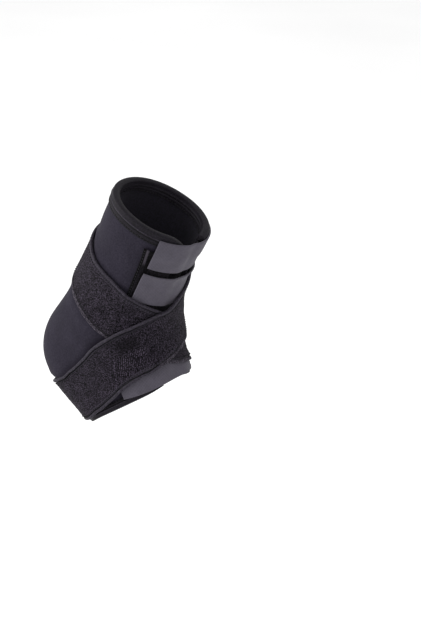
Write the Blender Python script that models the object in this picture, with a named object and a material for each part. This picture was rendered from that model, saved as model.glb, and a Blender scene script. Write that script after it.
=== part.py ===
"""Ankle brace in the form it has when worn: a neoprene wrap open in front, three hook tabs, two crossed straps.

Frame: metres, +Z up, +X to the toes, -Y the outer side of a right ankle, origin at the ankle's centre.
The wrap is a fan of closed sections. Station 0 is the rim round the leg, the last one the rim round the foot.
Round each section an angle runs from the shin (0) over the outer side (90) to the heel or sole (180).
"""

import math

import bmesh
import bpy
import numpy as np

# The inside of the wrap, which fits the leg and foot.
WRAP_DEPTH = 0.111
WRAP_HEIGHT = 0.177
WRAP_WIDTH = 0.070
LEG_LEAN = math.radians(25)

# Cloth thicknesses.
NEOPRENE_THICK = 0.0032
BINDING_THICK = 0.0007
LOOP_THICK = 0.0010
TAB_THICK = 0.0015
STRAP_THICK = 0.0020
STRAP_RIM_RISE = 0.0005

# Cloth widths and lengths.
TOP_BINDING_DEPTH = 0.0088
FOOT_BINDING_DEPTH = 0.0055
STRIP_INSET = 0.0010
TAB_HEIGHT = 0.0265
TAB_SPACING = 0.0046
TAB_DROP = 0.0025
STRAP_WIDTH = 0.040
STRAP_RIM_WIDTH = 0.0026
STRAP_TIP_LENGTH = 0.012

# Room between two pieces, and how softly a piece comes down beside the one it lies on.
FIT_GAP = 0.00045
EDGE_KEEP = 0.0036
EDGE_FALL = 0.0065

# Angles of the two front edges of the wrap, in degrees.
OUTER_EDGE = 26.0
INNER_EDGE = -8.0

# How far the rims draw in at the front corners, in stations, and over how many degrees.
CORNER_REACH = 24.0
OUTER_CORNER_INSET = 0.20
INNER_CORNER_INSET = 0.06
FOOT_CORNER_INSET = 0.20

# How many points the faces take.
WRAP_COLUMNS = 34
WRAP_LINES = 27
STRAP_STEP = 0.0042
TAB_STEP = 0.0062
STRAP_CELLS = 6
TAB_CELLS = 4
STRIP_LINES = 16
PATCH_LINES = 10
TIP_LINES = 3
BINDING_LINES = 2

# How finely the layout is worked out. The two nudges are the stations and degrees that a slope is read over.
STATION_NUDGE = 0.01
ANGLE_NUDGE = 0.1
WALK_STEP = 0.002
DROP_STEPS = 24
ROUTE_FINENESS = 12
SAMPLE_STEP = 0.0015
TURN_SMOOTHING = 12
TAUT_ROUNDS = 160
TAUT_PULL = 0.4
CROSS_STIFFNESS = 0.35

# Columns: front x, front z, back x, back z, width, widest, front power, back power. Each x is a share of
# WRAP_DEPTH, each z of WRAP_HEIGHT, the width of WRAP_WIDTH. Widest is where from back (0) to front (1) the
# width lies, and the powers square off the two halves.
STATIONS = (
    (0.307, 0.592, -0.329, 0.604, 0.974, 0.52, 2.0, 2.1),
    (0.302, 0.456, -0.334, 0.482, 0.946, 0.52, 2.0, 2.1),
    (0.302, 0.350, -0.325, 0.373, 0.903, 0.52, 2.0, 2.1),
    (0.320, 0.254, -0.329, 0.266, 0.888, 0.52, 2.0, 2.1),
    (0.365, 0.169, -0.338, 0.153, 0.917, 0.52, 2.0, 2.1),
    (0.419, 0.108, -0.343, 0.022, 0.988, 0.50, 2.1, 2.2),
    (0.455, 0.072, -0.383, -0.148, 0.974, 0.42, 2.3, 2.2),
    (0.487, 0.050, -0.351, -0.260, 0.956, 0.38, 2.4, 2.3),
    (0.518, 0.030, -0.242, -0.326, 0.956, 0.34, 2.4, 2.6),
    (0.549, 0.010, -0.083, -0.354, 0.968, 0.32, 2.4, 2.7),
    (0.585, -0.014, 0.086, -0.379, 0.988, 0.32, 2.3, 2.7),
    (0.625, -0.042, 0.267, -0.393, 1.010, 0.32, 2.2, 2.7),
)
LAST_STATION = len(STATIONS) - 1

# Ankle bones and the hollows beside the tendon: x, z, rise and reach as shares of WRAP_DEPTH, side -1 outer.
SWELLINGS = (
    (0.000, -0.018, 0.032, 0.126, -1),
    (0.090, 0.054, 0.023, 0.126, 1),
    (-0.198, 0.162, -0.020, 0.117, -1),
    (-0.198, 0.162, -0.020, 0.117, 1),
)

# Where the centre line of each strap runs: station and angle.
UNDER_ROUTE = (
    (9.62, -177.0),
    (9.68, -150.0),
    (9.66, -122.0),
    (9.50, -98.0),
    (9.10, -83.0),
    (8.45, -71.0),
    (7.55, -59.0),
    (6.75, -46.0),
    (6.15, -32.0),
    (5.65, -17.0),
    (5.30, -2.0),
    (5.02, 12.0),
    (4.78, 28.0),
    (4.52, 44.0),
    (4.28, 60.0),
    (4.05, 78.0),
    (3.83, 95.0),
    (3.69, 111.0),
    (3.57, 128.0),
    (3.38, 148.0),
    (3.20, 165.0),
    (3.05, 180.0),
    (2.92, 197.0),
    (2.80, 214.0),
)
OVER_ROUTE = (
    (9.62, 177.0),
    (9.68, 150.0),
    (9.70, 120.0),
    (9.66, 102.0),
    (9.45, 91.0),
    (9.00, 81.0),
    (8.42, 71.5),
    (7.55, 63.5),
    (6.70, 55.0),
    (6.05, 46.5),
    (5.50, 38.0),
    (5.05, 28.0),
    (4.70, 18.5),
    (4.35, 7.0),
    (4.00, -7.0),
    (3.65, -23.0),
    (3.30, -40.0),
    (2.97, -57.0),
    (2.68, -74.0),
    (2.42, -92.0),
)
# A tab's centre line up to its free end: angle, and how far it runs above a level line, in stations.
TAB_ROUTE = (
    (-46.0, 0.04),
    (-28.0, 0.05),
    (-10.0, 0.04),
    (8.0, 0.03),
    (26.0, 0.02),
    (42.0, 0.01),
)
TAB_FREE_ENDS = (57.0, 60.0)
# The foot tab's centre line: angle, and how far the tab's lower edge lies from the rim, in metres.
FOOT_TAB_ROUTE = (
    (-42.0, 0.0008),
    (-27.0, 0.0008),
    (-12.0, 0.0008),
    (4.0, 0.0008),
    (20.0, 0.0008),
    (36.0, 0.0009),
    (50.0, 0.0018),
    (63.0, 0.0036),
)

# The outer angle of the loop strip down the front edge, and of the loop patch by the foot.
STRIP_ENDS = ((0.0, 71.0), (1.2, 67.0), (2.8, 68.0), (4.6, 69.0))
PATCH_ENDS = ((7.6, 72.0), (9.0, 77.0), (10.7, 80.0))

NEOPRENE_COLOUR = (0.030, 0.030, 0.033, 1.0)
BINDING_COLOUR = (0.022, 0.022, 0.025, 1.0)
LOOP_COLOUR = (0.020, 0.020, 0.022, 1.0)
HOOK_COLOUR = (0.090, 0.091, 0.096, 1.0)
STRAP_COLOUR = (0.026, 0.026, 0.029, 1.0)


def clear_scene():
    for obj in list(bpy.data.objects):
        bpy.data.objects.remove(obj, do_unlink=True)
    for mesh in list(bpy.data.meshes):
        bpy.data.meshes.remove(mesh)


def between_rows(table, place):
    """A smooth curve through the rows of a table, carried straight on past its ends."""
    rows = np.asarray(table, float)
    place = np.asarray(place, float)
    last = len(rows) - 1
    index = np.clip(np.floor(place).astype(int), 0, last - 1)
    part = np.clip(place - index, 0.0, 1.0)[..., None]
    here = rows[index]
    after = rows[index + 1]
    before = np.where((index > 0)[..., None], rows[np.maximum(index - 1, 0)], 2 * here - after)
    later = np.where((index < last - 1)[..., None], rows[np.minimum(index + 2, last)], 2 * after - here)
    curve = 2 * here + (after - before) * part
    curve = curve + (2 * before - 5 * here + 4 * after - later) * part**2
    curve = curve + (3 * here - before - 3 * after + later) * part**3
    beyond = place - np.clip(place, 0.0, last)
    return 0.5 * curve + beyond[..., None] * (after - here)


def skin_side(station, angle):
    """Points of the wrap's inside in the leg's own frame."""
    station, angle = np.broadcast_arrays(np.asarray(station, float), np.asarray(angle, float))
    row = np.moveaxis(between_rows(STATIONS, station), -1, 0)
    front_x, front_z, back_x, back_z, width, widest, front_power, back_power = row
    front_x = front_x * WRAP_DEPTH
    back_x = back_x * WRAP_DEPTH
    front_z = front_z * WRAP_HEIGHT
    back_z = back_z * WRAP_HEIGHT
    cosine = np.cos(np.radians(angle))
    sine = np.sin(np.radians(angle))
    power = np.where(cosine > 0, front_power, back_power)
    share = np.where(cosine > 0, 1 - widest, widest)
    along = np.sign(cosine) * np.abs(cosine) ** (2 / power) * share + widest
    x = back_x + along * (front_x - back_x)
    z = back_z + along * (front_z - back_z)
    y = -np.sign(sine) * np.abs(sine) ** (2 / power) * width * WRAP_WIDTH / 2
    for centre_x, centre_z, rise, reach, side in SWELLINGS:
        away = (x - centre_x * WRAP_DEPTH) ** 2 + (z - centre_z * WRAP_DEPTH) ** 2
        bell = np.exp(-away / (2 * (reach * WRAP_DEPTH) ** 2))
        facing = np.clip(np.sign(y) * side * np.abs(sine), 0, 1)
        y = y + side * rise * WRAP_DEPTH * bell * facing
    return np.stack([x, y, z], -1)


def outward(station, angle):
    """Unit normals that point away from the foot."""
    station_nudge = STATION_NUDGE / 10
    angle_nudge = ANGLE_NUDGE / 10
    along = skin_side(station + station_nudge, angle) - skin_side(station - station_nudge, angle)
    around = skin_side(station, angle + angle_nudge) - skin_side(station, angle - angle_nudge)
    normal = np.cross(around, along)
    return normal / np.linalg.norm(normal, axis=-1, keepdims=True)


def place(station, angle, height):
    """Points at a height over the inside of the wrap, in the object's frame."""
    station, angle, height = np.broadcast_arrays(station, angle, height)
    point = skin_side(station, angle) + outward(station, angle) * height[..., None]
    x = point[..., 0] * math.cos(LEG_LEAN) + point[..., 2] * math.sin(LEG_LEAN)
    z = point[..., 2] * math.cos(LEG_LEAN) - point[..., 0] * math.sin(LEG_LEAN)
    return np.stack([x, point[..., 1], z], -1)


def slopes(station, angle, height):
    """How a point moves with its station and with its angle."""
    by_station = place(station + STATION_NUDGE, angle, height)
    by_station = (by_station - place(station - STATION_NUDGE, angle, height)) / (2 * STATION_NUDGE)
    by_angle = place(station, angle + ANGLE_NUDGE, height)
    by_angle = (by_angle - place(station, angle - ANGLE_NUDGE, height)) / (2 * ANGLE_NUDGE)
    return by_station, by_angle


def walk(station, angle, heading, distance, height):
    """Goes the distance over the surface without turning, and returns the new stations, angles and headings."""
    steps = max(1, math.ceil(abs(distance) / WALK_STEP))
    for _ in range(steps):
        by_station, by_angle = slopes(station, angle, height)
        normal = np.cross(by_angle, by_station)
        normal = normal / np.linalg.norm(normal, axis=-1, keepdims=True)
        heading = heading - normal * (heading * normal).sum(-1, keepdims=True)
        heading = heading / np.linalg.norm(heading, axis=-1, keepdims=True)
        aa = (by_station * by_station).sum(-1)
        bb = (by_angle * by_angle).sum(-1)
        ab = (by_station * by_angle).sum(-1)
        a = (heading * by_station).sum(-1)
        b = (heading * by_angle).sum(-1)
        scale = distance / steps / (aa * bb - ab * ab)
        station = station + (a * bb - b * ab) * scale
        angle = angle + (b * aa - a * ab) * scale
    return station, angle, heading


def even_route(route, height, step):
    """Stations and angles at even steps along a route."""
    fine = between_rows(route, np.linspace(0, len(route) - 1, ROUTE_FINENESS * len(route)))
    points = place(fine[:, 0], fine[:, 1], height)
    run = np.concatenate([[0.0], np.cumsum(np.linalg.norm(np.diff(points, axis=0), axis=1))])
    count = max(2, round(run[-1] / step)) + 1
    marks = np.linspace(0, run[-1], count)
    return np.interp(marks, run, fine[:, 0]), np.interp(marks, run, fine[:, 1])


def band(route, offsets, height, step):
    """Stations and angles of a grid of real width. Positive offsets lie to the right of the way it runs."""
    station, angle = even_route(route, height, step)
    centre = place(station, angle, height)
    ahead = np.gradient(centre, axis=0)
    by_station, by_angle = slopes(station, angle, height)
    normal = np.cross(by_angle, by_station)
    right = np.cross(ahead, normal)
    for _ in range(TURN_SMOOTHING):
        right[1:-1] = (right[:-2] + 2 * right[1:-1] + right[2:]) / 4
    stations = []
    angles = []
    for offset in offsets:
        far, turned, _ = walk(station, angle, right, offset, height)
        stations.append(far)
        angles.append(turned)
    return np.stack(stations, 1), np.stack(angles, 1)


def finer(grid, rows, columns):
    """The grid with points between its own, along straight lines."""
    down = np.linspace(0, grid.shape[0] - 1, rows)
    over = np.linspace(0, grid.shape[1] - 1, columns)
    half = np.stack([np.interp(down, np.arange(grid.shape[0]), column) for column in grid.T], 1)
    return np.stack([np.interp(over, np.arange(grid.shape[1]), row) for row in half])


class Layers:
    """What lies on the wrap so far. Each later piece rests on it."""

    def __init__(self):
        self.footprints = []

    def add(self, stations, angles, tops):
        tops = np.broadcast_to(tops, stations.shape)
        points = place(stations, angles, NEOPRENE_THICK)
        long = np.linalg.norm(np.diff(points, axis=0), axis=-1).sum(0).max()
        wide = np.linalg.norm(np.diff(points, axis=1), axis=-1).sum(1).max()
        size = (math.ceil(long / SAMPLE_STEP) + 1, math.ceil(wide / SAMPLE_STEP) + 1)
        samples = place(finer(stations, *size), finer(angles, *size), NEOPRENE_THICK)
        self.footprints.append((samples.reshape(-1, 3), finer(tops, *size).reshape(-1)))

    def rest(self, stations, angles):
        """The height at which a piece lies on everything below it."""
        points = place(stations, angles, NEOPRENE_THICK).reshape(-1, 3)
        height = np.full(len(points), NEOPRENE_THICK)
        for samples, tops in self.footprints:
            apart = np.linalg.norm(points[:, None, :] - samples[None, :, :], axis=-1)
            nearest = apart.argmin(1)
            distance = apart[np.arange(len(points)), nearest]
            fall = np.clip((distance - EDGE_KEEP) / EDGE_FALL, 0, 1)
            fade = 1 - fall * fall * (3 - 2 * fall)
            height = np.maximum(height, NEOPRENE_THICK + (tops[nearest] - NEOPRENE_THICK) * fade)
        return height.reshape(stations.shape) + FIT_GAP


def material(name, colour, roughness):
    found = bpy.data.materials.get(name)
    if found:
        return found
    made = bpy.data.materials.new(name)
    made.use_nodes = True
    shader = made.node_tree.nodes["Principled BSDF"]
    shader.inputs["Base Color"].default_value = colour
    shader.inputs["Roughness"].default_value = roughness
    made.diffuse_color = colour
    return made


def add_object(name, points, faces, coat):
    """Makes a closed body with its faces turned out."""
    shape = bmesh.new()
    corners = [shape.verts.new(point) for point in points]
    for face in faces:
        shape.faces.new([corners[index] for index in face])
    if shape.calc_volume(signed=True) < 0:
        bmesh.ops.reverse_faces(shape, faces=shape.faces)
    mesh = bpy.data.meshes.new(name)
    shape.to_mesh(mesh)
    shape.free()
    mesh.materials.append(coat)
    mesh.shade_smooth()
    obj = bpy.data.objects.new(name, mesh)
    bpy.context.scene.collection.objects.link(obj)
    return obj


def sheet(name, under, over, coat):
    """A closed piece of cloth from a grid of points under it and a grid over it."""
    rows, columns = under.shape[:2]
    points = np.concatenate([under.reshape(-1, 3), over.reshape(-1, 3)])
    top = rows * columns
    faces = []
    for i in range(rows - 1):
        for j in range(columns - 1):
            a = i * columns + j
            b = a + columns
            faces.append((a, a + 1, b + 1, b))
            faces.append((top + a, top + b, top + b + 1, top + a + 1))
    edge = list(range(columns - 1))
    edge += [i * columns + columns - 1 for i in range(rows - 1)]
    edge += [(rows - 1) * columns + j for j in range(columns - 1, 0, -1)]
    edge += [i * columns for i in range(rows - 1, 0, -1)]
    for a, b in zip(edge, edge[1:] + edge[:1]):
        faces.append((b, a, top + a, top + b))
    return add_object(name, points, faces, coat)


def swept(name, sections, caps, coat):
    """A closed rod from one ring of points per step. Caps lists the faces that fill a ring."""
    steps, count = sections.shape[:2]
    points = sections.reshape(-1, 3)
    faces = []
    for i in range(steps - 1):
        for j in range(count):
            a = i * count + j
            b = i * count + (j + 1) % count
            faces.append((a, b, b + count, a + count))
    end = (steps - 1) * count
    for cap in caps:
        faces.append(tuple(reversed(cap)))
        faces.append(tuple(end + index for index in cap))
    return add_object(name, points, faces, coat)


def wrap_angles():
    return np.linspace(OUTER_EDGE, 360 + INNER_EDGE, WRAP_COLUMNS + 1)


def rim_station(angles, last):
    """The station of a rim, drawn in a little where the front corners are cut round."""
    outer = np.clip(1 - (angles - OUTER_EDGE) / CORNER_REACH, 0, 1)
    inner = np.clip(1 - (360 + INNER_EDGE - angles) / CORNER_REACH, 0, 1)
    if last:
        return LAST_STATION - FOOT_CORNER_INSET * np.maximum(outer, inner) ** 2
    return OUTER_CORNER_INSET * outer**2 + INNER_CORNER_INSET * inner**2


def build_wrap(coat):
    angles = wrap_angles()
    top = rim_station(angles, False)
    foot = rim_station(angles, True)
    share = np.linspace(0, 1, WRAP_LINES + 1)[:, None]
    stations = top[None, :] * (1 - share) + foot[None, :] * share
    angles = np.broadcast_to(angles, stations.shape)
    under = place(stations, angles, 0.0)
    over = place(stations, angles, NEOPRENE_THICK)
    return sheet("boot_wrap", under, over, coat)


def build_binding(name, last, reach, layers, coat):
    """A folded tape over one rim of the wrap."""
    angles = wrap_angles()
    rim = rim_station(angles, last)
    inward = -1.0 if last else 1.0
    by_station, _ = slopes(rim, angles, NEOPRENE_THICK / 2)
    per_metre = inward / np.linalg.norm(by_station, axis=-1)
    near = -FIT_GAP
    outer = NEOPRENE_THICK + FIT_GAP
    thick = BINDING_THICK
    profile = (
        (reach, outer + thick),
        (near - thick, outer + thick),
        (near - thick, near - thick),
        (reach, near - thick),
        (reach, near),
        (near, near),
        (near, outer),
        (reach, outer),
    )
    rings = [place(rim + depth * per_metre, angles, height) for depth, height in profile]
    depths = np.linspace(near - thick, reach, BINDING_LINES + 1)
    footprint = rim[:, None] + depths * per_metre[:, None]
    layers.add(footprint, np.broadcast_to(angles[:, None], footprint.shape), outer + thick)
    return swept(name, np.stack(rings, 1), ((0, 1, 6, 7), (1, 2, 5, 6), (2, 3, 4, 5)), coat)


def lay_sheet(name, stations, angles, thick, layers, coat, rise=0.0):
    """Lays a grid on what is there, and adds it to the layers."""
    low = layers.rest(stations, angles)
    layers.add(stations, angles, low + thick + rise)
    return sheet(name, place(stations, angles, low), place(stations, angles, low + thick), coat)


def loop_grid(ends, lines, first, last):
    """Stations and angles of a loop piece that starts beside the outer front edge."""
    stations = np.linspace(first, last, lines + 1)
    outer = np.interp(stations, [row[0] for row in ends], [row[1] for row in ends])
    _, by_angle = slopes(stations, np.full(len(stations), OUTER_EDGE), NEOPRENE_THICK)
    inner = OUTER_EDGE + STRIP_INSET / np.linalg.norm(by_angle, axis=-1)
    share = np.linspace(0, 1, TAB_CELLS + 1)
    angles = inner[:, None] * (1 - share) + outer[:, None] * share
    return np.stack([stations] * (TAB_CELLS + 1), 1), angles


def across(width, cells):
    return np.linspace(-width / 2, width / 2, cells + 1)


def station_down(distance, angle, start):
    """The station that lies a distance along the wrap from another one."""
    station = np.full(np.shape(angle), float(start))
    for _ in range(DROP_STEPS):
        by_station, _ = slopes(station, angle, NEOPRENE_THICK)
        station = station + distance / DROP_STEPS / np.linalg.norm(by_station, axis=-1)
    return station


def tab_route(top_edge, free_end):
    """The centre line of a tab whose top edge is that far below the rim at its free end."""
    angles = np.array([row[0] for row in TAB_ROUTE] + [free_end])
    lift = np.array([row[1] for row in TAB_ROUTE] + [0.0])
    station = station_down(top_edge + TAB_HEIGHT / 2, angles, 0.0) - lift
    return tuple(zip(station, angles))


def foot_tab_route():
    angles = np.array([row[0] for row in FOOT_TAB_ROUTE])
    reach = np.array([row[1] for row in FOOT_TAB_ROUTE]) + TAB_HEIGHT / 2
    rim = rim_station(np.maximum(angles, OUTER_EDGE), True)
    station = np.array([station_down(-far, one, start) for far, one, start in zip(reach, angles, rim)])
    return tuple(zip(station, angles))


def build_tab(name, route, layers, coat):
    stations, angles = band(route, across(TAB_HEIGHT, TAB_CELLS), NEOPRENE_THICK + TAB_THICK, TAB_STEP)
    return lay_sheet(name, stations, angles, TAB_THICK, layers, coat)


def taut(stations, angles, low):
    """Lets a strap run straight over a hollow instead of going down into it."""
    height = low.copy()
    normal = place(stations, angles, 1.0) - place(stations, angles, 0.0)
    for _ in range(TAUT_ROUNDS):
        points = place(stations, angles, height)
        rise = np.zeros(height.shape)
        long = (points[:-2] + points[2:]) / 2 - points[1:-1]
        wide = (points[:, :-2] + points[:, 2:]) / 2 - points[:, 1:-1]
        rise[1:-1] += (long * normal[1:-1]).sum(-1)
        rise[:, 1:-1] += (wide * normal[:, 1:-1]).sum(-1) * CROSS_STIFFNESS
        height[1:-1] = np.maximum(low, height + TAUT_PULL * rise)[1:-1]
    return height


def build_rim(name, stations, angles, low, coat):
    """The folded edge tape of a strap, between two lines of its grid."""
    high = low + STRAP_THICK + STRAP_RIM_RISE
    rings = (
        place(stations[:, 0], angles[:, 0], low[:, 0]),
        place(stations[:, 1], angles[:, 1], low[:, 1]),
        place(stations[:, 1], angles[:, 1], high[:, 1]),
        place(stations[:, 0], angles[:, 0], high[:, 0]),
    )
    swept(name, np.stack(rings, 1), ((0, 1, 2, 3),), coat)


def build_strap(name, rims, tip, route, ride, layers, coats):
    """A loop-faced strap, its two edge tapes and the plain hook piece that ends it."""
    cloth, tape, hook = coats
    fabric = STRAP_WIDTH - 2 * STRAP_RIM_WIDTH - 2 * FIT_GAP
    seam = STRAP_WIDTH / 2 - STRAP_RIM_WIDTH
    edge = STRAP_WIDTH / 2
    offsets = np.concatenate([[-edge, -seam], across(fabric, STRAP_CELLS), [seam, edge]])
    stations, angles = band(route, offsets, ride, STRAP_STEP)
    low = taut(stations, angles, layers.rest(stations, angles))
    build_rim(rims[0], stations[:, :2], angles[:, :2], low[:, :2], tape)
    build_rim(rims[1], stations[:, -2:], angles[:, -2:], low[:, -2:], tape)
    inside = slice(2, -2)
    under = place(stations, angles, low)[:, inside]
    over = place(stations, angles, low + STRAP_THICK)[:, inside]
    sheet(name, under, over, cloth)
    build_tip(tip, stations[:, inside], angles[:, inside], fabric, ride, layers, hook)
    layers.add(stations, angles, low + STRAP_THICK + STRAP_RIM_RISE)


def build_tip(name, stations, angles, width, ride, layers, coat):
    """The hook piece past the strap's end, on the inner side of the leg."""
    middle = STRAP_CELLS // 2
    station = stations[-2:, middle]
    angle = angles[-2:, middle]
    points = place(station, angle, ride)
    heading = points[1] - points[0]
    path = []
    for distance in np.linspace(FIT_GAP, STRAP_TIP_LENGTH, TIP_LINES + 1):
        ahead = walk(station[1:], angle[1:], heading[None, :], distance, ride)
        path.append((ahead[0][0], ahead[1][0]))
    grid = band(path, across(width - 2 * STRAP_RIM_WIDTH, TAB_CELLS), ride, STRAP_STEP)
    lay_sheet(name, grid[0], grid[1], TAB_THICK, layers, coat)


def main():
    clear_scene()
    neoprene = material("neoprene", NEOPRENE_COLOUR, 0.85)
    binding = material("binding tape", BINDING_COLOUR, 0.75)
    loop = material("loop pile", LOOP_COLOUR, 0.95)
    hook = material("hook tape", HOOK_COLOUR, 0.70)
    cloth = material("strap cloth", STRAP_COLOUR, 0.95)
    layers = Layers()
    build_wrap(neoprene)
    build_binding("top_binding", False, TOP_BINDING_DEPTH, layers, binding)
    build_binding("foot_binding", True, FOOT_BINDING_DEPTH, layers, binding)

    below_top = TOP_BINDING_DEPTH + 2 * FIT_GAP
    first = float(station_down(below_top, np.array(OUTER_EDGE), rim_station(np.array(OUTER_EDGE), False)))
    strip = loop_grid(STRIP_ENDS, STRIP_LINES, first, STRIP_ENDS[-1][0])
    lay_sheet("closure_strip", strip[0], strip[1], LOOP_THICK, layers, loop)
    above_foot = FOOT_BINDING_DEPTH + 2 * FIT_GAP
    last = float(station_down(-above_foot, np.array(OUTER_EDGE), rim_station(np.array(OUTER_EDGE), True)))
    patch = loop_grid(PATCH_ENDS, PATCH_LINES, PATCH_ENDS[0][0], last)
    lay_sheet("foot_loop_patch", patch[0], patch[1], LOOP_THICK, layers, loop)

    next_edge = TAB_DROP + TAB_HEIGHT + TAB_SPACING
    build_tab("upper_tab", tab_route(TAB_DROP, TAB_FREE_ENDS[0]), layers, hook)
    build_tab("middle_tab", tab_route(next_edge, TAB_FREE_ENDS[1]), layers, hook)
    build_tab("lower_tab", foot_tab_route(), layers, hook)

    coats = (cloth, binding, hook)
    ride = NEOPRENE_THICK + TAB_THICK + STRAP_THICK
    under_rims = ("under_strap_rim_left", "under_strap_rim_right")
    build_strap("under_strap", under_rims, "under_strap_tip", UNDER_ROUTE, ride, layers, coats)
    over_rims = ("over_strap_rim_left", "over_strap_rim_right")
    build_strap("over_strap", over_rims, "over_strap_tip", OVER_ROUTE, ride + STRAP_THICK / 2, layers, coats)


main()
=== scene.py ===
"""Ankle brace, dressed: knit-faced neoprene, folded tapes, hook tabs, loop straps, stitches, and a stage.

Everything is in metres in the part's frame: +Z up, +X to the toes, -Y the outer side, and the origin at the
ankle's centre. The form's functions and tables are the part's own, so each cloth lies where its solid does.
"""

import math
from collections import namedtuple
from functools import cache

import bmesh
import bpy
import numpy as np
from mathutils import Matrix, Vector, noise
from mathutils.kdtree import KDTree


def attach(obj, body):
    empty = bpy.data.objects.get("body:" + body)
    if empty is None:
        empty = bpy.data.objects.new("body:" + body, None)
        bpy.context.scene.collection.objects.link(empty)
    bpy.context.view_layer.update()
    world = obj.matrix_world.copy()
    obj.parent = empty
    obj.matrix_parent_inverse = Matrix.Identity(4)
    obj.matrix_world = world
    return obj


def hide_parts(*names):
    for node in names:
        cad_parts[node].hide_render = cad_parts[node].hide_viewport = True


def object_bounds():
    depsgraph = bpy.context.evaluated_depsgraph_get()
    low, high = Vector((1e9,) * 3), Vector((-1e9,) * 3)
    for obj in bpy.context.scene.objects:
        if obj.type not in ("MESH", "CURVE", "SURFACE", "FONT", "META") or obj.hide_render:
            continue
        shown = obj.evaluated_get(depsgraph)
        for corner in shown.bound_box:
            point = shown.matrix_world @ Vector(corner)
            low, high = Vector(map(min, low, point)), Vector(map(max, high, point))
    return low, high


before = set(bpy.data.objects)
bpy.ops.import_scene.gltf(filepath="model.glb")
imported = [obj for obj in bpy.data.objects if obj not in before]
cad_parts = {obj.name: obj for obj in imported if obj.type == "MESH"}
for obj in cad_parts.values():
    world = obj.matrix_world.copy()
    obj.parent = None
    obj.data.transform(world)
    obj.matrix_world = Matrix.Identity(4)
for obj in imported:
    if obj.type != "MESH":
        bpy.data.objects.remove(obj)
CAD_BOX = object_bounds()

bl_info = {
    "name": "Ankle brace",
    "version": (1, 0, 0),
    "blender": (4, 5, 0),
    "location": "View3D > Sidebar > Ankle brace",
    "description": "Dresses the packed ankle brace with cloth, tapes, stitches and a stage",
    "category": "Add Mesh",
}

# The inside of the wrap, which fits the leg and foot.
WRAP_DEPTH = 0.111
WRAP_HEIGHT = 0.177
WRAP_WIDTH = 0.070
LEG_LEAN = math.radians(25)

# Cloth thicknesses.
NEOPRENE_THICK = 0.0032
BINDING_THICK = 0.0007
LOOP_THICK = 0.0010
TAB_THICK = 0.0015
STRAP_THICK = 0.0020
STRAP_RIM_RISE = 0.0005

# Cloth widths and lengths.
TOP_BINDING_DEPTH = 0.0088
FOOT_BINDING_DEPTH = 0.0055
STRIP_INSET = 0.0010
TAB_HEIGHT = 0.0265
TAB_SPACING = 0.0046
TAB_DROP = 0.0025
STRAP_WIDTH = 0.040
STRAP_RIM_WIDTH = 0.0026
STRAP_TIP_LENGTH = 0.012

# Room between two pieces, and how softly a piece comes down beside the one it lies on.
FIT_GAP = 0.00045
EDGE_KEEP = 0.0036
EDGE_FALL = 0.0065

# Angles of the two front edges of the wrap, in degrees.
OUTER_EDGE = 26.0
INNER_EDGE = -8.0

# How far the rims draw in at the front corners, in stations, and over how many degrees.
CORNER_REACH = 24.0
OUTER_CORNER_INSET = 0.20
INNER_CORNER_INSET = 0.06
FOOT_CORNER_INSET = 0.20

# The layout's own grids, as coarse as the part's.
STRAP_STEP = 0.0042
TAB_STEP = 0.0062
STRAP_CELLS = 6
TAB_CELLS = 4
STRIP_LINES = 16
PATCH_LINES = 10
TIP_LINES = 3
BINDING_LINES = 2
WRAP_COLUMNS = 34
STATION_NUDGE = 0.01
ANGLE_NUDGE = 0.1
WALK_STEP = 0.002
DROP_STEPS = 24
ROUTE_FINENESS = 12
SAMPLE_STEP = 0.0015
TURN_SMOOTHING = 12
TAUT_ROUNDS = 160
TAUT_PULL = 0.4
CROSS_STIFFNESS = 0.35

# Columns: front x, front z, back x, back z, width, widest, front power, back power, as in the part.
STATIONS = (
    (0.307, 0.592, -0.329, 0.604, 0.974, 0.52, 2.0, 2.1),
    (0.302, 0.456, -0.334, 0.482, 0.946, 0.52, 2.0, 2.1),
    (0.302, 0.350, -0.325, 0.373, 0.903, 0.52, 2.0, 2.1),
    (0.320, 0.254, -0.329, 0.266, 0.888, 0.52, 2.0, 2.1),
    (0.365, 0.169, -0.338, 0.153, 0.917, 0.52, 2.0, 2.1),
    (0.419, 0.108, -0.343, 0.022, 0.988, 0.50, 2.1, 2.2),
    (0.455, 0.072, -0.383, -0.148, 0.974, 0.42, 2.3, 2.2),
    (0.487, 0.050, -0.351, -0.260, 0.956, 0.38, 2.4, 2.3),
    (0.518, 0.030, -0.242, -0.326, 0.956, 0.34, 2.4, 2.6),
    (0.549, 0.010, -0.083, -0.354, 0.968, 0.32, 2.4, 2.7),
    (0.585, -0.014, 0.086, -0.379, 0.988, 0.32, 2.3, 2.7),
    (0.625, -0.042, 0.267, -0.393, 1.010, 0.32, 2.2, 2.7),
)
LAST_STATION = len(STATIONS) - 1

# Ankle bones and the hollows beside the tendon: x, z, rise and reach as shares of WRAP_DEPTH, side -1 outer.
SWELLINGS = (
    (0.000, -0.018, 0.032, 0.126, -1),
    (0.090, 0.054, 0.023, 0.126, 1),
    (-0.198, 0.162, -0.020, 0.117, -1),
    (-0.198, 0.162, -0.020, 0.117, 1),
)

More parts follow.
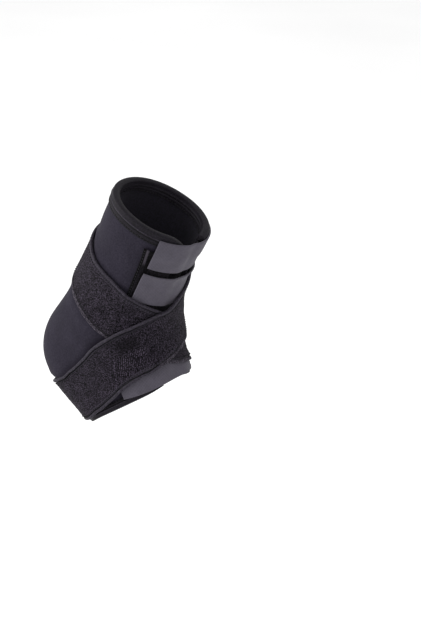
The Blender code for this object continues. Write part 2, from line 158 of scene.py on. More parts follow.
# Where the centre line of each strap runs: station and angle.
UNDER_ROUTE = (
    (9.62, -177.0), (9.68, -150.0), (9.66, -122.0), (9.50, -98.0), (9.10, -83.0), (8.45, -71.0),
    (7.55, -59.0), (6.75, -46.0), (6.15, -32.0), (5.65, -17.0), (5.30, -2.0), (5.02, 12.0), (4.78, 28.0),
    (4.52, 44.0), (4.28, 60.0), (4.05, 78.0), (3.83, 95.0), (3.69, 111.0), (3.57, 128.0), (3.38, 148.0),
    (3.20, 165.0), (3.05, 180.0), (2.92, 197.0), (2.80, 214.0),
)
OVER_ROUTE = (
    (9.62, 177.0), (9.68, 150.0), (9.70, 120.0), (9.66, 102.0), (9.45, 91.0), (9.00, 81.0), (8.42, 71.5),
    (7.55, 63.5), (6.70, 55.0), (6.05, 46.5), (5.50, 38.0), (5.05, 28.0), (4.70, 18.5), (4.35, 7.0),
    (4.00, -7.0), (3.65, -23.0), (3.30, -40.0), (2.97, -57.0), (2.68, -74.0), (2.42, -92.0),
)
# A tab's centre line up to its free end: angle, and how far it runs above a level line, in stations.
TAB_ROUTE = (
    (-46.0, 0.04), (-28.0, 0.05), (-10.0, 0.04), (8.0, 0.03), (26.0, 0.02), (42.0, 0.01),
)
TAB_FREE_ENDS = (57.0, 60.0)
# The foot tab's centre line: angle, and how far the tab's lower edge lies from the rim, in metres.
FOOT_TAB_ROUTE = (
    (-42.0, 0.0008), (-27.0, 0.0008), (-12.0, 0.0008), (4.0, 0.0008), (20.0, 0.0008), (36.0, 0.0009),
    (50.0, 0.0018), (63.0, 0.0036),
)

# The outer angle of the loop strip down the front edge, and of the loop patch by the foot.
STRIP_ENDS = ((0.0, 71.0), (1.2, 67.0), (2.8, 68.0), (4.6, 69.0))
PATCH_ENDS = ((7.6, 72.0), (9.0, 77.0), (10.7, 80.0))

# Grid steps of the dressed cloth, and how its borders are rounded.
WRAP_STEP = 0.0015
PILE_STEP = 0.0007
TAPE_STEP = 0.0014
TAB_FINE_STEP = 0.0010
EDGE_ROUNDING = 0.0007
EDGE_POINTS = 4
# The cells along the wrap's borders that show the foam.
FOAM_CELLS = 3
# About how far it is round the wrap and from rim to rim, and how long one degree round it is. The first two set
# the number of points in its grid, and the last the rounding of its tapes' ends.
WRAP_GIRTH = 0.235
WRAP_LINE = 0.20
DEGREE_LENGTH = 0.0007
# Corners of a mesh that lie this close are merged, and edges this short are dissolved.
MERGE_WITHIN = 1e-6
DISSOLVE_UNDER = 1e-7

# Rows of stitches: their lines' step, the room left at each end, how far loops lift them, how flat they lie.
SEAM_STEP = 0.0010
SEAM_TRIM = 0.002
LOOP_LIFT = 0.0001
THREAD_FLATNESS = 0.8

# How far the ridge of a loop piece lies from its outer edge, and the fold beside it.
EDGE_RIDGE = 0.0030
EDGE_FOLD = EDGE_RIDGE / 2.6
# The plain border of a strap's pile, which its edge tape is sewn to.
BORDER_WIDTH = 0.0008

# Stripes of a cloth's colour: the middle, half the width, and the width of the soft border, in metres.
BORDER = (0.0, BORDER_WIDTH, 0.0004)
# The closure strip's, from its outer edge: two lines of painted shade, and a painted highlight on its ridge
# with the stretch along it.
STRIP_SHADE_AT = ((0.0006, 0.0007, 0.0009), (0.0062, 0.0012, 0.0012))
HIGHLIGHT_ON_RIDGE = (EDGE_RIDGE, 0.0003, 0.0012)
HIGHLIGHT_STRETCH = (0.006, 0.004, 0.006)
# The over strap's cross seam and ribs slant, this much along it for each metre across. They are given at its
# left border, and keep to a stripe that runs along it. Painted shade darkens the hollow where two stripes
# cross.
OVER_SLANT = 0.8
OVER_SEAM = (0.1115, 0.0004, 0.0007)
OVER_RIBS = (0.12725, 0.01075, 0.003)
OVER_RIBBED = (0.0245, 0.0075, 0.004)
OVER_HOLLOW_SHADE = ((0.115, 0.005, 0.008), (0.009, 0.002, 0.005))
RIB_PITCH = 0.0020
# What the marks do to the colour, as factors.
RIB_SHADES = (0.3, 2.0)
SEAM_SHADE = 1.8
HOLLOW_SHADE = 0.4
LINE_SHADE = 0.3
# The period of Blender's wave texture at scale 1, and the middle of a noise, where most of its values lie.
WAVE_PERIOD = math.pi / 10
NOISE_LOW = 0.35
NOISE_HIGH = 0.65

# The photograph's frame, in its own pixels, and where the object stands in it.
IMAGE_SIZE = (421, 631)
ORIGIN_PIXEL = (113.0, 319.0)
PIXELS_PER_METRE = 1280.0
CAMERA_AZIMUTH = math.radians(33)
CAMERA_ELEVATION = math.radians(20)
CAMERA_DISTANCE = 1.5
SENSOR_WIDTH = 36.0

# The two folded tapes: name, whether it is on the foot's rim, and how far it reaches into the wrap.
BINDINGS = (("top_binding", False, TOP_BINDING_DEPTH), ("foot_binding", True, FOOT_BINDING_DEPTH))

Cloth = namedtuple("Cloth", "stations angles low thick")


def linear(code):
    """A colour's linear red, green, blue and alpha from its sRGB hex value."""
    shares = [int(code[i : i + 2], 16) / 255 for i in (0, 2, 4)]
    return tuple(c / 12.92 if c <= 0.04045 else ((c + 0.055) / 1.055) ** 2.4 for c in shares) + (1.0,)


def between_rows(table, place):
    """A smooth curve through the rows of a table, carried straight on past its ends."""
    rows = np.asarray(table, float)
    place = np.asarray(place, float)
    last = len(rows) - 1
    index = np.clip(np.floor(place).astype(int), 0, last - 1)
    part = np.clip(place - index, 0.0, 1.0)[..., None]
    here = rows[index]
    after = rows[index + 1]
    before = np.where((index > 0)[..., None], rows[np.maximum(index - 1, 0)], 2 * here - after)
    later = np.where((index < last - 1)[..., None], rows[np.minimum(index + 2, last)], 2 * after - here)
    curve = 2 * here + (after - before) * part
    curve = curve + (2 * before - 5 * here + 4 * after - later) * part**2
    curve = curve + (3 * here - before - 3 * after + later) * part**3
    beyond = place - np.clip(place, 0.0, last)
    return 0.5 * curve + beyond[..., None] * (after - here)


def lengths(vectors):
    return np.linalg.norm(vectors, axis=-1)


def unit(vectors):
    return vectors / np.linalg.norm(vectors, axis=-1, keepdims=True)


def skin_side(station, angle):
    """Points of the wrap's inside in the leg's own frame."""
    station, angle = np.broadcast_arrays(np.asarray(station, float), np.asarray(angle, float))
    row = np.moveaxis(between_rows(STATIONS, station), -1, 0)
    front_x, front_z, back_x, back_z, width, widest, front_power, back_power = row
    front_x = front_x * WRAP_DEPTH
    back_x = back_x * WRAP_DEPTH
    front_z = front_z * WRAP_HEIGHT
    back_z = back_z * WRAP_HEIGHT
    cosine = np.cos(np.radians(angle))
    sine = np.sin(np.radians(angle))
    power = np.where(cosine > 0, front_power, back_power)
    share = np.where(cosine > 0, 1 - widest, widest)
    along = np.sign(cosine) * np.abs(cosine) ** (2 / power) * share + widest
    x = back_x + along * (front_x - back_x)
    z = back_z + along * (front_z - back_z)
    y = -np.sign(sine) * np.abs(sine) ** (2 / power) * width * WRAP_WIDTH / 2
    for centre_x, centre_z, rise, reach, side in SWELLINGS:
        away = (x - centre_x * WRAP_DEPTH) ** 2 + (z - centre_z * WRAP_DEPTH) ** 2
        hump = np.exp(-away / (2 * (reach * WRAP_DEPTH) ** 2))
        facing = np.clip(np.sign(y) * side * np.abs(sine), 0, 1)
        y = y + side * rise * WRAP_DEPTH * hump * facing
    return np.stack([x, y, z], -1)


def outward(station, angle):
    """Unit normals that point away from the foot, in the leg's own frame."""
    station_nudge = STATION_NUDGE / 10
    angle_nudge = ANGLE_NUDGE / 10
    along = skin_side(station + station_nudge, angle) - skin_side(station - station_nudge, angle)
    around = skin_side(station, angle + angle_nudge) - skin_side(station, angle - angle_nudge)
    return unit(np.cross(around, along))


def place(station, angle, height):
    """Points at a height over the inside of the wrap, in the object's frame."""
    station, angle, height = np.broadcast_arrays(station, angle, height)
    point = skin_side(station, angle) + outward(station, angle) * height[..., None]
    x = point[..., 0] * math.cos(LEG_LEAN) + point[..., 2] * math.sin(LEG_LEAN)
    z = point[..., 2] * math.cos(LEG_LEAN) - point[..., 0] * math.sin(LEG_LEAN)
    return np.stack([x, point[..., 1], z], -1)


def lift(station, angle):
    """Unit normals that point away from the foot, in the object's frame."""
    return place(station, angle, 1.0) - place(station, angle, 0.0)


def slopes(station, angle, height):
    """How a point moves with its station and with its angle."""
    by_station = place(station + STATION_NUDGE, angle, height)
    by_station = (by_station - place(station - STATION_NUDGE, angle, height)) / (2 * STATION_NUDGE)
    by_angle = place(station, angle + ANGLE_NUDGE, height)
    by_angle = (by_angle - place(station, angle - ANGLE_NUDGE, height)) / (2 * ANGLE_NUDGE)
    return by_station, by_angle


def walk(station, angle, heading, distance, height):
    """Goes the distance over the surface without turning, and returns stations, angles and headings."""
    steps = max(1, math.ceil(abs(distance) / WALK_STEP))
    for _ in range(steps):
        by_station, by_angle = slopes(station, angle, height)
        normal = unit(np.cross(by_angle, by_station))
        heading = unit(heading - normal * (heading * normal).sum(-1, keepdims=True))
        aa = (by_station * by_station).sum(-1)
        bb = (by_angle * by_angle).sum(-1)
        ab = (by_station * by_angle).sum(-1)
        a = (heading * by_station).sum(-1)
        b = (heading * by_angle).sum(-1)
        scale = distance / steps / (aa * bb - ab * ab)
        station = station + (a * bb - b * ab) * scale
        angle = angle + (b * aa - a * ab) * scale
    return station, angle, heading


def even_route(route, height, step):
    """Stations and angles at even steps along a route."""
    fine = between_rows(route, np.linspace(0, len(route) - 1, ROUTE_FINENESS * len(route)))
    points = place(fine[:, 0], fine[:, 1], height)
    run = np.concatenate([[0.0], np.cumsum(lengths(np.diff(points, axis=0)))])
    count = max(2, round(run[-1] / step)) + 1
    marks = np.linspace(0, run[-1], count)
    return np.interp(marks, run, fine[:, 0]), np.interp(marks, run, fine[:, 1])


def band(route, offsets, height, step):
    """Stations and angles of a grid of real width. Positive offsets lie to the right of the way it runs."""
    station, angle = even_route(route, height, step)
    centre = place(station, angle, height)
    ahead = np.gradient(centre, axis=0)
    by_station, by_angle = slopes(station, angle, height)
    normal = np.cross(by_angle, by_station)
    right = np.cross(ahead, normal)
    for _ in range(TURN_SMOOTHING):
        right[1:-1] = (right[:-2] + 2 * right[1:-1] + right[2:]) / 4
    stations = []
    angles = []
    for offset in offsets:
        far, turned, _ = walk(station, angle, right, offset, height)
        stations.append(far)
        angles.append(turned)
    return np.stack(stations, 1), np.stack(angles, 1)


def finer(grid, rows, columns):
    """The grid with points between its own, along straight lines."""
    down = np.linspace(0, grid.shape[0] - 1, rows)
    over = np.linspace(0, grid.shape[1] - 1, columns)
    half = np.stack([np.interp(down, np.arange(grid.shape[0]), column) for column in grid.T], 1)
    return np.stack([np.interp(over, np.arange(grid.shape[1]), row) for row in half])


def nearest(tree, points):
    """The distance from each point to a tree, and the place in it."""
    found = [tree.find(point)[1:] for point in points.reshape(-1, 3)]
    index = np.array([row[0] for row in found])
    distance = np.array([row[1] for row in found])
    return distance, index


def tree_of(points):
    points = points.reshape(-1, 3)
    tree = KDTree(len(points))
    for index, point in enumerate(points):
        tree.insert(point, index)
    tree.balance()
    return tree


class Layers:
    """What lies on the wrap so far. Each later piece rests on it."""

    def __init__(self):
        self.footprints = []

    def add(self, stations, angles, tops):
        tops = np.broadcast_to(tops, stations.shape)
        points = place(stations, angles, NEOPRENE_THICK)
        long = lengths(np.diff(points, axis=0)).sum(0).max()
        wide = lengths(np.diff(points, axis=1)).sum(1).max()
        size = (math.ceil(long / SAMPLE_STEP) + 1, math.ceil(wide / SAMPLE_STEP) + 1)
        samples = place(finer(stations, *size), finer(angles, *size), NEOPRENE_THICK)
        self.footprints.append((tree_of(samples), finer(tops, *size).reshape(-1)))

    def rest(self, stations, angles):
        """The height at which a piece lies on everything below it."""
        points = place(stations, angles, NEOPRENE_THICK)
        height = np.full(stations.size, NEOPRENE_THICK)
        for tree, tops in self.footprints:
            distance, index = nearest(tree, points)
            fall = np.clip((distance - EDGE_KEEP) / EDGE_FALL, 0, 1)
            fade = 1 - fall * fall * (3 - 2 * fall)
            height = np.maximum(height, NEOPRENE_THICK + (tops[index] - NEOPRENE_THICK) * fade)
        return height.reshape(stations.shape) + FIT_GAP

    def away(self, stations, angles, first):
        """How far each point lies from the pieces laid since the first one."""
        points = place(stations, angles, NEOPRENE_THICK)
        apart = [nearest(tree, points)[0] for tree, _ in self.footprints[first:]]
        return np.min(apart, axis=0).reshape(stations.shape)


def rim_station(angles, last):
    """The station of a rim, drawn in a little where the front corners are cut round."""
    outer = np.clip(1 - (angles - OUTER_EDGE) / CORNER_REACH, 0, 1)
    inner = np.clip(1 - (360 + INNER_EDGE - angles) / CORNER_REACH, 0, 1)
    if last:
        return LAST_STATION - FOOT_CORNER_INSET * np.maximum(outer, inner) ** 2
    return OUTER_CORNER_INSET * outer**2 + INNER_CORNER_INSET * inner**2


def rim_scale(angles, last):
    """Stations per metre that lead from a rim into the wrap."""
    by_station, _ = slopes(rim_station(angles, last), angles, NEOPRENE_THICK / 2)
    return (-1.0 if last else 1.0) / lengths(by_station)


def loop_grid(ends, lines, first, last):
    """Stations and angles of a loop piece that starts beside the outer front edge."""
    stations = np.linspace(first, last, lines + 1)
    outer = np.interp(stations, [row[0] for row in ends], [row[1] for row in ends])
    _, by_angle = slopes(stations, np.full(len(stations), OUTER_EDGE), NEOPRENE_THICK)
    inner = OUTER_EDGE + STRIP_INSET / lengths(by_angle)
    share = np.linspace(0, 1, TAB_CELLS + 1)
    angles = inner[:, None] * (1 - share) + outer[:, None] * share
    return np.stack([stations] * (TAB_CELLS + 1), 1), angles


def across(width, cells):
    return np.linspace(-width / 2, width / 2, cells + 1)


def station_down(distance, angle, start):
    """The station that lies a distance along the wrap from another one."""
    station = np.full(np.shape(angle), float(start))
    for _ in range(DROP_STEPS):
        by_station, _ = slopes(station, angle, NEOPRENE_THICK)
        station = station + distance / DROP_STEPS / lengths(by_station)
    return station


def tab_route(top_edge, free_end):
    """The centre line of a tab whose top edge is that far below the rim at its free end."""
    angles = np.array([row[0] for row in TAB_ROUTE] + [free_end])
    raised = np.array([row[1] for row in TAB_ROUTE] + [0.0])
    station = station_down(top_edge + TAB_HEIGHT / 2, angles, 0.0) - raised
    return tuple(zip(station, angles))


def foot_tab_route():
    angles = np.array([row[0] for row in FOOT_TAB_ROUTE])
    reach = np.array([row[1] for row in FOOT_TAB_ROUTE]) + TAB_HEIGHT / 2
    rim = rim_station(np.maximum(angles, OUTER_EDGE), True)
    station = np.array([station_down(-far, one, start) for far, one, start in zip(reach, angles, rim)])
    return tuple(zip(station, angles))


def taut(stations, angles, low):
    """Lets a strap run straight over a hollow instead of going down into it."""
    height = low.copy()
    normal = lift(stations, angles)
    for _ in range(TAUT_ROUNDS):
        points = place(stations, angles, height)
        rise = np.zeros(height.shape)
        long = (points[:-2] + points[2:]) / 2 - points[1:-1]
        wide = (points[:, :-2] + points[:, 2:]) / 2 - points[:, 1:-1]
        rise[1:-1] += (long * normal[1:-1]).sum(-1)
        rise[:, 1:-1] += (wide * normal[:, 1:-1]).sum(-1) * CROSS_STIFFNESS
        height[1:-1] = np.maximum(low, height + TAUT_PULL * rise)[1:-1]
    return height


def tip_grid(stations, angles, width, ride):
    """Stations and angles of the hook piece past a strap's end."""
    middle = STRAP_CELLS // 2
    station = stations[-2:, middle]
    angle = angles[-2:, middle]
    points = place(station, angle, ride)
    heading = points[1] - points[0]
    path = []
    for distance in np.linspace(FIT_GAP, STRAP_TIP_LENGTH, TIP_LINES + 1):
        ahead = walk(station[1:], angle[1:], heading[None, :], distance, ride)
        path.append((ahead[0][0], ahead[1][0]))
    return band(path, across(width - 2 * STRAP_RIM_WIDTH, TAB_CELLS), ride, STRAP_STEP)


class Layout:
    """Where each cloth lies, worked out once in the order in which the part lays them."""

    def __init__(self):
        self.layers = Layers()
        self.cloths = {}
        self.lay_bindings()
        self.lay_loops()
        self.lay_tabs()
        self.first_strap = len(self.layers.footprints)
        ride = NEOPRENE_THICK + TAB_THICK + STRAP_THICK
        self.lay_strap("under_strap", UNDER_ROUTE, ride)
        self.lay_strap("over_strap", OVER_ROUTE, ride + STRAP_THICK / 2)

    def lay(self, name, grid, thick):
        stations, angles = grid
        low = self.layers.rest(stations, angles)
        self.layers.add(stations, angles, low + thick)
        self.cloths[name] = Cloth(stations, angles, low, thick)

    def lay_bindings(self):
        angles = np.linspace(OUTER_EDGE, 360 + INNER_EDGE, WRAP_COLUMNS + 1)
        for _, last, reach in BINDINGS:
            depths = np.linspace(-FIT_GAP - BINDING_THICK, reach, BINDING_LINES + 1)
            footprint = rim_station(angles, last)[:, None] + depths * rim_scale(angles, last)[:, None]
            top = NEOPRENE_THICK + FIT_GAP + BINDING_THICK
            self.layers.add(footprint, np.broadcast_to(angles[:, None], footprint.shape), top)

    def lay_loops(self):
        edge = np.array(OUTER_EDGE)
        below_top = TOP_BINDING_DEPTH + 2 * FIT_GAP
        above_foot = FOOT_BINDING_DEPTH + 2 * FIT_GAP
        first = float(station_down(below_top, edge, rim_station(edge, False)))
        last = float(station_down(-above_foot, edge, rim_station(edge, True)))
        self.lay("closure_strip", loop_grid(STRIP_ENDS, STRIP_LINES, first, STRIP_ENDS[-1][0]), LOOP_THICK)
        self.lay("foot_loop_patch", loop_grid(PATCH_ENDS, PATCH_LINES, PATCH_ENDS[0][0], last), LOOP_THICK)

    def lay_tabs(self):
        next_edge = TAB_DROP + TAB_HEIGHT + TAB_SPACING
        routes = {
            "upper_tab": tab_route(TAB_DROP, TAB_FREE_ENDS[0]),
            "middle_tab": tab_route(next_edge, TAB_FREE_ENDS[1]),
            "lower_tab": foot_tab_route(),
        }
        for name, route in routes.items():
            grid = band(route, across(TAB_HEIGHT, TAB_CELLS), NEOPRENE_THICK + TAB_THICK, TAB_STEP)
            self.lay(name, grid, TAB_THICK)

    def lay_strap(self, name, route, ride):
        fabric = STRAP_WIDTH - 2 * STRAP_RIM_WIDTH - 2 * FIT_GAP
        edge = STRAP_WIDTH / 2
        seam = edge - STRAP_RIM_WIDTH
        offsets = np.concatenate([[-edge, -seam], across(fabric, STRAP_CELLS), [seam, edge]])
        stations, angles = band(route, offsets, ride, STRAP_STEP)
        low = taut(stations, angles, self.layers.rest(stations, angles))
        parts = {name: slice(2, -2), name + "_left": slice(0, 2), name + "_right": slice(-1, -3, -1)}
        for part, columns in parts.items():
            self.cloths[part] = Cloth(stations[:, columns], angles[:, columns], low[:, columns], STRAP_THICK)
        cloth = self.cloths[name]
        self.lay(name + "_tip", tip_grid(cloth.stations, cloth.angles, fabric, ride), TAB_THICK)
        self.layers.add(stations, angles, low + STRAP_THICK + STRAP_RIM_RISE)


layout = Layout()


def refined(grid, rows, columns):
    """The grid at those rows and columns, which may lie between its own, along smooth curves both ways."""
    half = between_rows(grid, rows)
    return between_rows(half.T, columns).T


def spacing(length, step):
    """Places from 0 to 1 at even steps, with a few more at each end for a rounded edge."""
    share = EDGE_ROUNDING / length
    edge = share * (1 - np.cos(np.linspace(0, math.pi / 2, EDGE_POINTS + 1)[:-1]))
    count = max(2, round((length - 2 * EDGE_ROUNDING) / step))
    middle = np.linspace(share, 1 - share, count + 1)
    return np.concatenate([edge, middle, 1 - edge[::-1]])


def angles_round(step):
    """Angles from the outer front edge of the wrap round to the inner one."""
    return OUTER_EDGE + spacing(WRAP_GIRTH, step) * (360 + INNER_EDGE - OUTER_EDGE)


def fullness(distance):
    """How thick a rounded edge is at that distance from its end, from 0 to 1."""
    short = 1 - np.clip(distance / EDGE_ROUNDING, 0, 1)
    return np.sqrt(1 - short * short)


def bell(distance, width):
    """1 at no distance, falling softly to 0 beyond the width."""
    return np.exp(-((distance / width) ** 2))


def grain(points, size, seed):
    """Smooth noise from -1 to 1 at each point, with lumps of about that size."""
    shift = Vector((seed, seed * 0.37, seed * 0.71))
    flat = [noise.noise(Vector(point) / size + shift) for point in points.reshape(-1, 3)]
    return np.array(flat).reshape(points.shape[:-1])


def runs(points):
    """How far down and how far across a grid each of its rows and columns lies, on average."""
    down = lengths(np.diff(points, axis=0)).mean(1)
    over = lengths(np.diff(points, axis=1)).mean(0)
    return np.concatenate([[0.0], np.cumsum(down)]), np.concatenate([[0.0], np.cumsum(over)])


def cloth_runs(cloth, height):
    """The same for a cloth, at that height over its underside."""
    return runs(place(cloth.stations, cloth.angles, cloth.low + height))


def from_ends(points, axis):
    """How far each point of a grid lies from the nearer end of its row or column."""
    steps = lengths(np.diff(points, axis=axis))
    far = np.insert(np.cumsum(steps, axis=axis), 0, 0.0, axis=axis)
    return np.minimum(far, np.take(far, [-1], axis=axis) - far)


def add_piece(name, points, faces, coats, uvs, slots):
    """A closed body with its faces turned out, merged, smooth, and with a UV map in metres."""
    shape = bmesh.new()
    corners = [shape.verts.new(point) for point in points]
    layer = shape.loops.layers.uv.new("cloth")
    for face, slot in zip(faces, slots):
        made = shape.faces.new([corners[index] for index in face])
        made.smooth = True
        made.material_index = slot
        for loop, index in zip(made.loops, face):
            loop[layer].uv = uvs[index]
    bmesh.ops.remove_doubles(shape, verts=shape.verts, dist=MERGE_WITHIN)
    bmesh.ops.dissolve_degenerate(shape, edges=shape.edges, dist=DISSOLVE_UNDER)
    if shape.calc_volume(signed=True) < 0:
        bmesh.ops.reverse_faces(shape, faces=shape.faces)
    mesh = bpy.data.meshes.new(name)
    shape.to_mesh(mesh)
    shape.free()
    for one in coats:
        mesh.materials.append(one)
    return linked(name, mesh)


def linked(name, data):
    obj = bpy.data.objects.new(name, data)
    bpy.context.scene.collection.objects.link(obj)
    return obj


def grid_faces(rows, columns, start, flip):
    faces = []
    for i in range(rows - 1):
        for j in range(columns - 1):
            a = start + i * columns + j
            b = a + columns
            faces.append((a, b, b + 1, a + 1) if flip else (a, a + 1, b + 1, b))
    return faces


def two_sided(name, under, over, coats, foam=False):
    """A closed cloth from the points under and over it, whose borders meet.

    With foam, the coats are for the underside, the upper side and the borders.
    """
    rows, columns = under.shape[:2]
    down, along = runs(over)
    uv = np.stack(np.meshgrid(down, along, indexing="ij"), -1).reshape(-1, 2)
    points = np.concatenate([under.reshape(-1, 3), over.reshape(-1, 3)])
    faces = grid_faces(rows, columns, 0, False) + grid_faces(rows, columns, rows * columns, True)
    slots = [0] * len(faces)
    if foam:
        for number in range(len(faces)):
            side, cell = divmod(number, len(faces) // 2)
            i, j = divmod(cell, columns - 1)
            slots[number] = 2 if min(i, j, rows - 2 - i, columns - 2 - j) < FOAM_CELLS else side
    return add_piece(name, points, faces, coats, np.concatenate([uv, uv]), slots)


def fine_cloth(cloth, step):
    """The cloth's stations, angles and heights at a fine step, and how far down and across its lines lie."""
    down, over = cloth_runs(cloth, cloth.thick)
    rows = np.interp(spacing(down[-1], step), down / down[-1], np.arange(len(down)))
    columns = np.interp(spacing(over[-1], step), over / over[-1], np.arange(len(over)))
    stations, angles, low = (refined(grid, rows, columns) for grid in cloth[:3])
    return stations, angles, low, *runs(place(stations, angles, low + cloth.thick))


def build_cloth(name, cloth, step, coats, relief=None):
    """A sheet of cloth with rounded borders.

    Relief adds to its upper face, in metres. It takes the upper points and their distances from the sides and
    from the last column.
    """
    stations, angles, low, down, over = fine_cloth(cloth, step)
    from_last = (over[-1] - over)[None, :]
    from_sides = np.minimum(over[None, :], from_last)
    full = np.minimum(fullness(np.minimum(down, down[-1] - down)[:, None]), fullness(from_sides))
    middle = low + cloth.thick / 2
    upper = place(stations, angles, middle + full * cloth.thick / 2)
    if relief is not None:
        rise = relief(upper, from_sides, from_last) * full
        upper = upper + lift(stations, angles) * rise[..., None]
    under = place(stations, angles, middle - full * cloth.thick / 2)
    return two_sided(name, under, upper, coats)


def swept(name, sections, coats, sides, second_from=None):
    """A closed rod from one ring of points for each step, with its ends drawn to a point.

    Sides give their slots. From the step second_from on, the second coat is used all round.
    """
    steps, count = sections.shape[:2]
    points = np.concatenate([sections.reshape(-1, 3), sections[0].mean(0)[None], sections[-1].mean(0)[None]])
    first = steps * count
    faces = []
    for i in range(0, first - count, count):
        for j in range(count):
            after = (j + 1) % count
            faces.append((i + j, i + after, i + after + count, i + j + count))
    slots = list(sides) * (steps - 1) + [0] * (2 * count)
    if second_from is not None:
        slots[second_from * count :] = [1] * (len(slots) - second_from * count)
    for j in range(count):
        after = (j + 1) % count
        faces.append((first, after, j))
        faces.append((first + 1, first - count + j, first - count + after))
    down, _ = runs(sections)
    girth = lengths(np.diff(sections[0], axis=0)).sum()
    turn = np.linspace(0, 1, count + 1)[:-1] * girth
    uv = np.stack(np.meshgrid(down, turn, indexing="ij"), -1).reshape(-1, 2)
    return add_piece(name, points, faces, coats, np.concatenate([uv, uv[:1], uv[-1:]]), slots)


def add_node(tree, kind, inputs=None, **settings):
    """Adds a node and gives back its outputs. An input is a value, or a socket that it links from."""
    node = tree.nodes.new(kind)
    for key, value in settings.items():
        setattr(node, key, value)
    for key, value in (inputs or {}).items():
        if isinstance(value, bpy.types.NodeSocket):
            tree.links.new(value, node.inputs[key])
        else:
            node.inputs[key].default_value = value
    return node.outputs


def new_material(name):
    made = bpy.data.materials.new(name)
    made.use_nodes = True
    return made, made.node_tree


def finished(made, face, *, roughness, specular, sheen=0.0, sheen_roughness=0.5, height=None, relief=0.0):
    """Links the colour and the bump to the shader, and sets what is the same all over on its own sockets."""
    tree = made.node_tree
    shader = tree.nodes["Principled BSDF"]
    tree.links.new(face, shader.inputs["Base Color"])
    if height is not None:
        bump = add_node(tree, "ShaderNodeBump", {"Height": height, "Distance": relief, "Strength": 1.0})
        tree.links.new(bump["Normal"], shader.inputs["Normal"])
    shader.inputs["IOR"].default_value = 1.5
    shader.inputs["Roughness"].default_value = roughness
    shader.inputs["Specular IOR Level"].default_value = specular
    shader.inputs["Sheen Weight"].default_value = sheen
    shader.inputs["Sheen Roughness"].default_value = sheen_roughness
    return made


def lumps(tree, millimetres, detail, roughness=0.5):
    """Noise on the object's own coordinates, with lumps of about that size."""
    where = add_node(tree, "ShaderNodeTexCoord")["Object"]
    inputs = {"Vector": where, "Scale": 1000.0 / millimetres, "Detail": detail, "Roughness": roughness}
    return add_node(tree, "ShaderNodeTexNoise", inputs, noise_dimensions="3D")["Fac"]


def colour_of(name):
    return linear(getattr(bpy.context.scene.brace_colours, name))


def graded(tree, factor, dark, light, low=NOISE_LOW, high=NOISE_HIGH):
    """Runs from the dark to the light colour while the factor runs from low to high."""
    inputs = {"Value": factor, "From Min": low, "From Max": high}
    share = add_node(tree, "ShaderNodeMapRange", inputs)["Result"]
    inputs = {0: share, 6: colour_of(dark), 7: colour_of(light)}
    return add_node(tree, "ShaderNodeMix", inputs, data_type="RGBA")[2]


def dimmed(tree, colour, factor, least):
    """The colour times a share that runs from least to 1 with the factor."""
    inputs = {"Value": factor, "From Min": NOISE_LOW, "From Max": NOISE_HIGH, "To Min": least, "To Max": 1.0}
    share = add_node(tree, "ShaderNodeMapRange", inputs)["Result"]
    inputs = {0: colour, "Scale": share}
    return add_node(tree, "ShaderNodeVectorMath", inputs, operation="SCALE")["Vector"]


def beside(tree, where, stripe):
    """0 on a stripe of the surface and 1 beside it. Where is a distance over the surface, in metres."""
    centre, half, soft = stripe
    off = add_node(tree, "ShaderNodeMath", {0: where, 1: centre}, operation="SUBTRACT")[0]
    apart = add_node(tree, "ShaderNodeMath", {0: off}, operation="ABSOLUTE")[0]
    inputs = {"Value": apart, "From Min": half, "From Max": half + soft}
    return add_node(tree, "ShaderNodeMapRange", inputs, interpolation_type="SMOOTHSTEP")["Result"]


def beside_both(tree, first, first_stripe, second, second_stripe, operation="MAXIMUM"):
    """0 where two stripes cross and 1 elsewhere. With MULTIPLY, 0 on either of them."""
    inputs = {0: beside(tree, first, first_stripe), 1: beside(tree, second, second_stripe)}
    return add_node(tree, "ShaderNodeMath", inputs, operation=operation)[0]


def over_cloth(tree, width):
    """How far a point lies down the cloth, across it, and from its last column, in metres."""
    where = add_node(tree, "ShaderNodeUVMap", uv_map="cloth")["UV"]
    along, across, _ = add_node(tree, "ShaderNodeSeparateXYZ", {"Vector": where})
    from_last = add_node(tree, "ShaderNodeMath", {0: width, 1: across}, operation="SUBTRACT")[0]
    return along, across, from_last


def knit_neoprene():
    """Chloroprene foam laminated with nylon jersey: a smooth dark face, a soft sheen and a faint grain."""
    made, tree = new_material("nylon jersey on neoprene")
    knit = bpy.context.scene.brace_sizes.knit_grain * 1000
    fine = lumps(tree, millimetres=knit, detail=3.0, roughness=0.6)
    broad = lumps(tree, millimetres=14.0, detail=2.0)
    face = graded(tree, fine, "jersey_dark", "jersey_light", low=0.34, high=0.66)
    face = dimmed(tree, face, broad, least=0.85)
    finish = {"roughness": 0.8, "specular": 0.08, "sheen": 0.02, "sheen_roughness": 0.4}
    return finished(made, face, height=fine, relief=0.00012, **finish)


def jersey_lining():
    """The inner jersey, plain and matte black, with the knit's small grain."""
    made, tree = new_material("black jersey lining")
    knit = bpy.context.scene.brace_sizes.knit_grain * 1000
    fine = lumps(tree, millimetres=knit, detail=3.0, roughness=0.6)
    face = graded(tree, fine, "lining", "jersey_dark")
    return finished(made, face, roughness=0.9, specular=0.12, sheen=0.05, height=fine, relief=0.00012)


def foam_core():
    """The cut edge of the closed-cell rubber foam between the two jerseys: black, with tiny cells."""
    made, tree = new_material("chloroprene foam edge")
    cells = lumps(tree, millimetres=0.8, detail=2.0)
    face = graded(tree, cells, "foam_dark", "foam_light")
    return finished(made, face, roughness=0.95, specular=0.1, height=cells, relief=0.0001)


def folded_tape(name, dark, light):
    """Knitted nylon edge tape, folded and sewn: a little shinier than the jersey, with a fine grain."""
    made, tree = new_material(name)
    fine = lumps(tree, millimetres=1.0, detail=2.0)
    face = graded(tree, fine, dark, light)
    finish = {"roughness": 0.6, "specular": 0.1, "sheen": 0.02, "sheen_roughness": 0.4}
    return finished(made, face, height=fine, relief=0.00008, **finish)


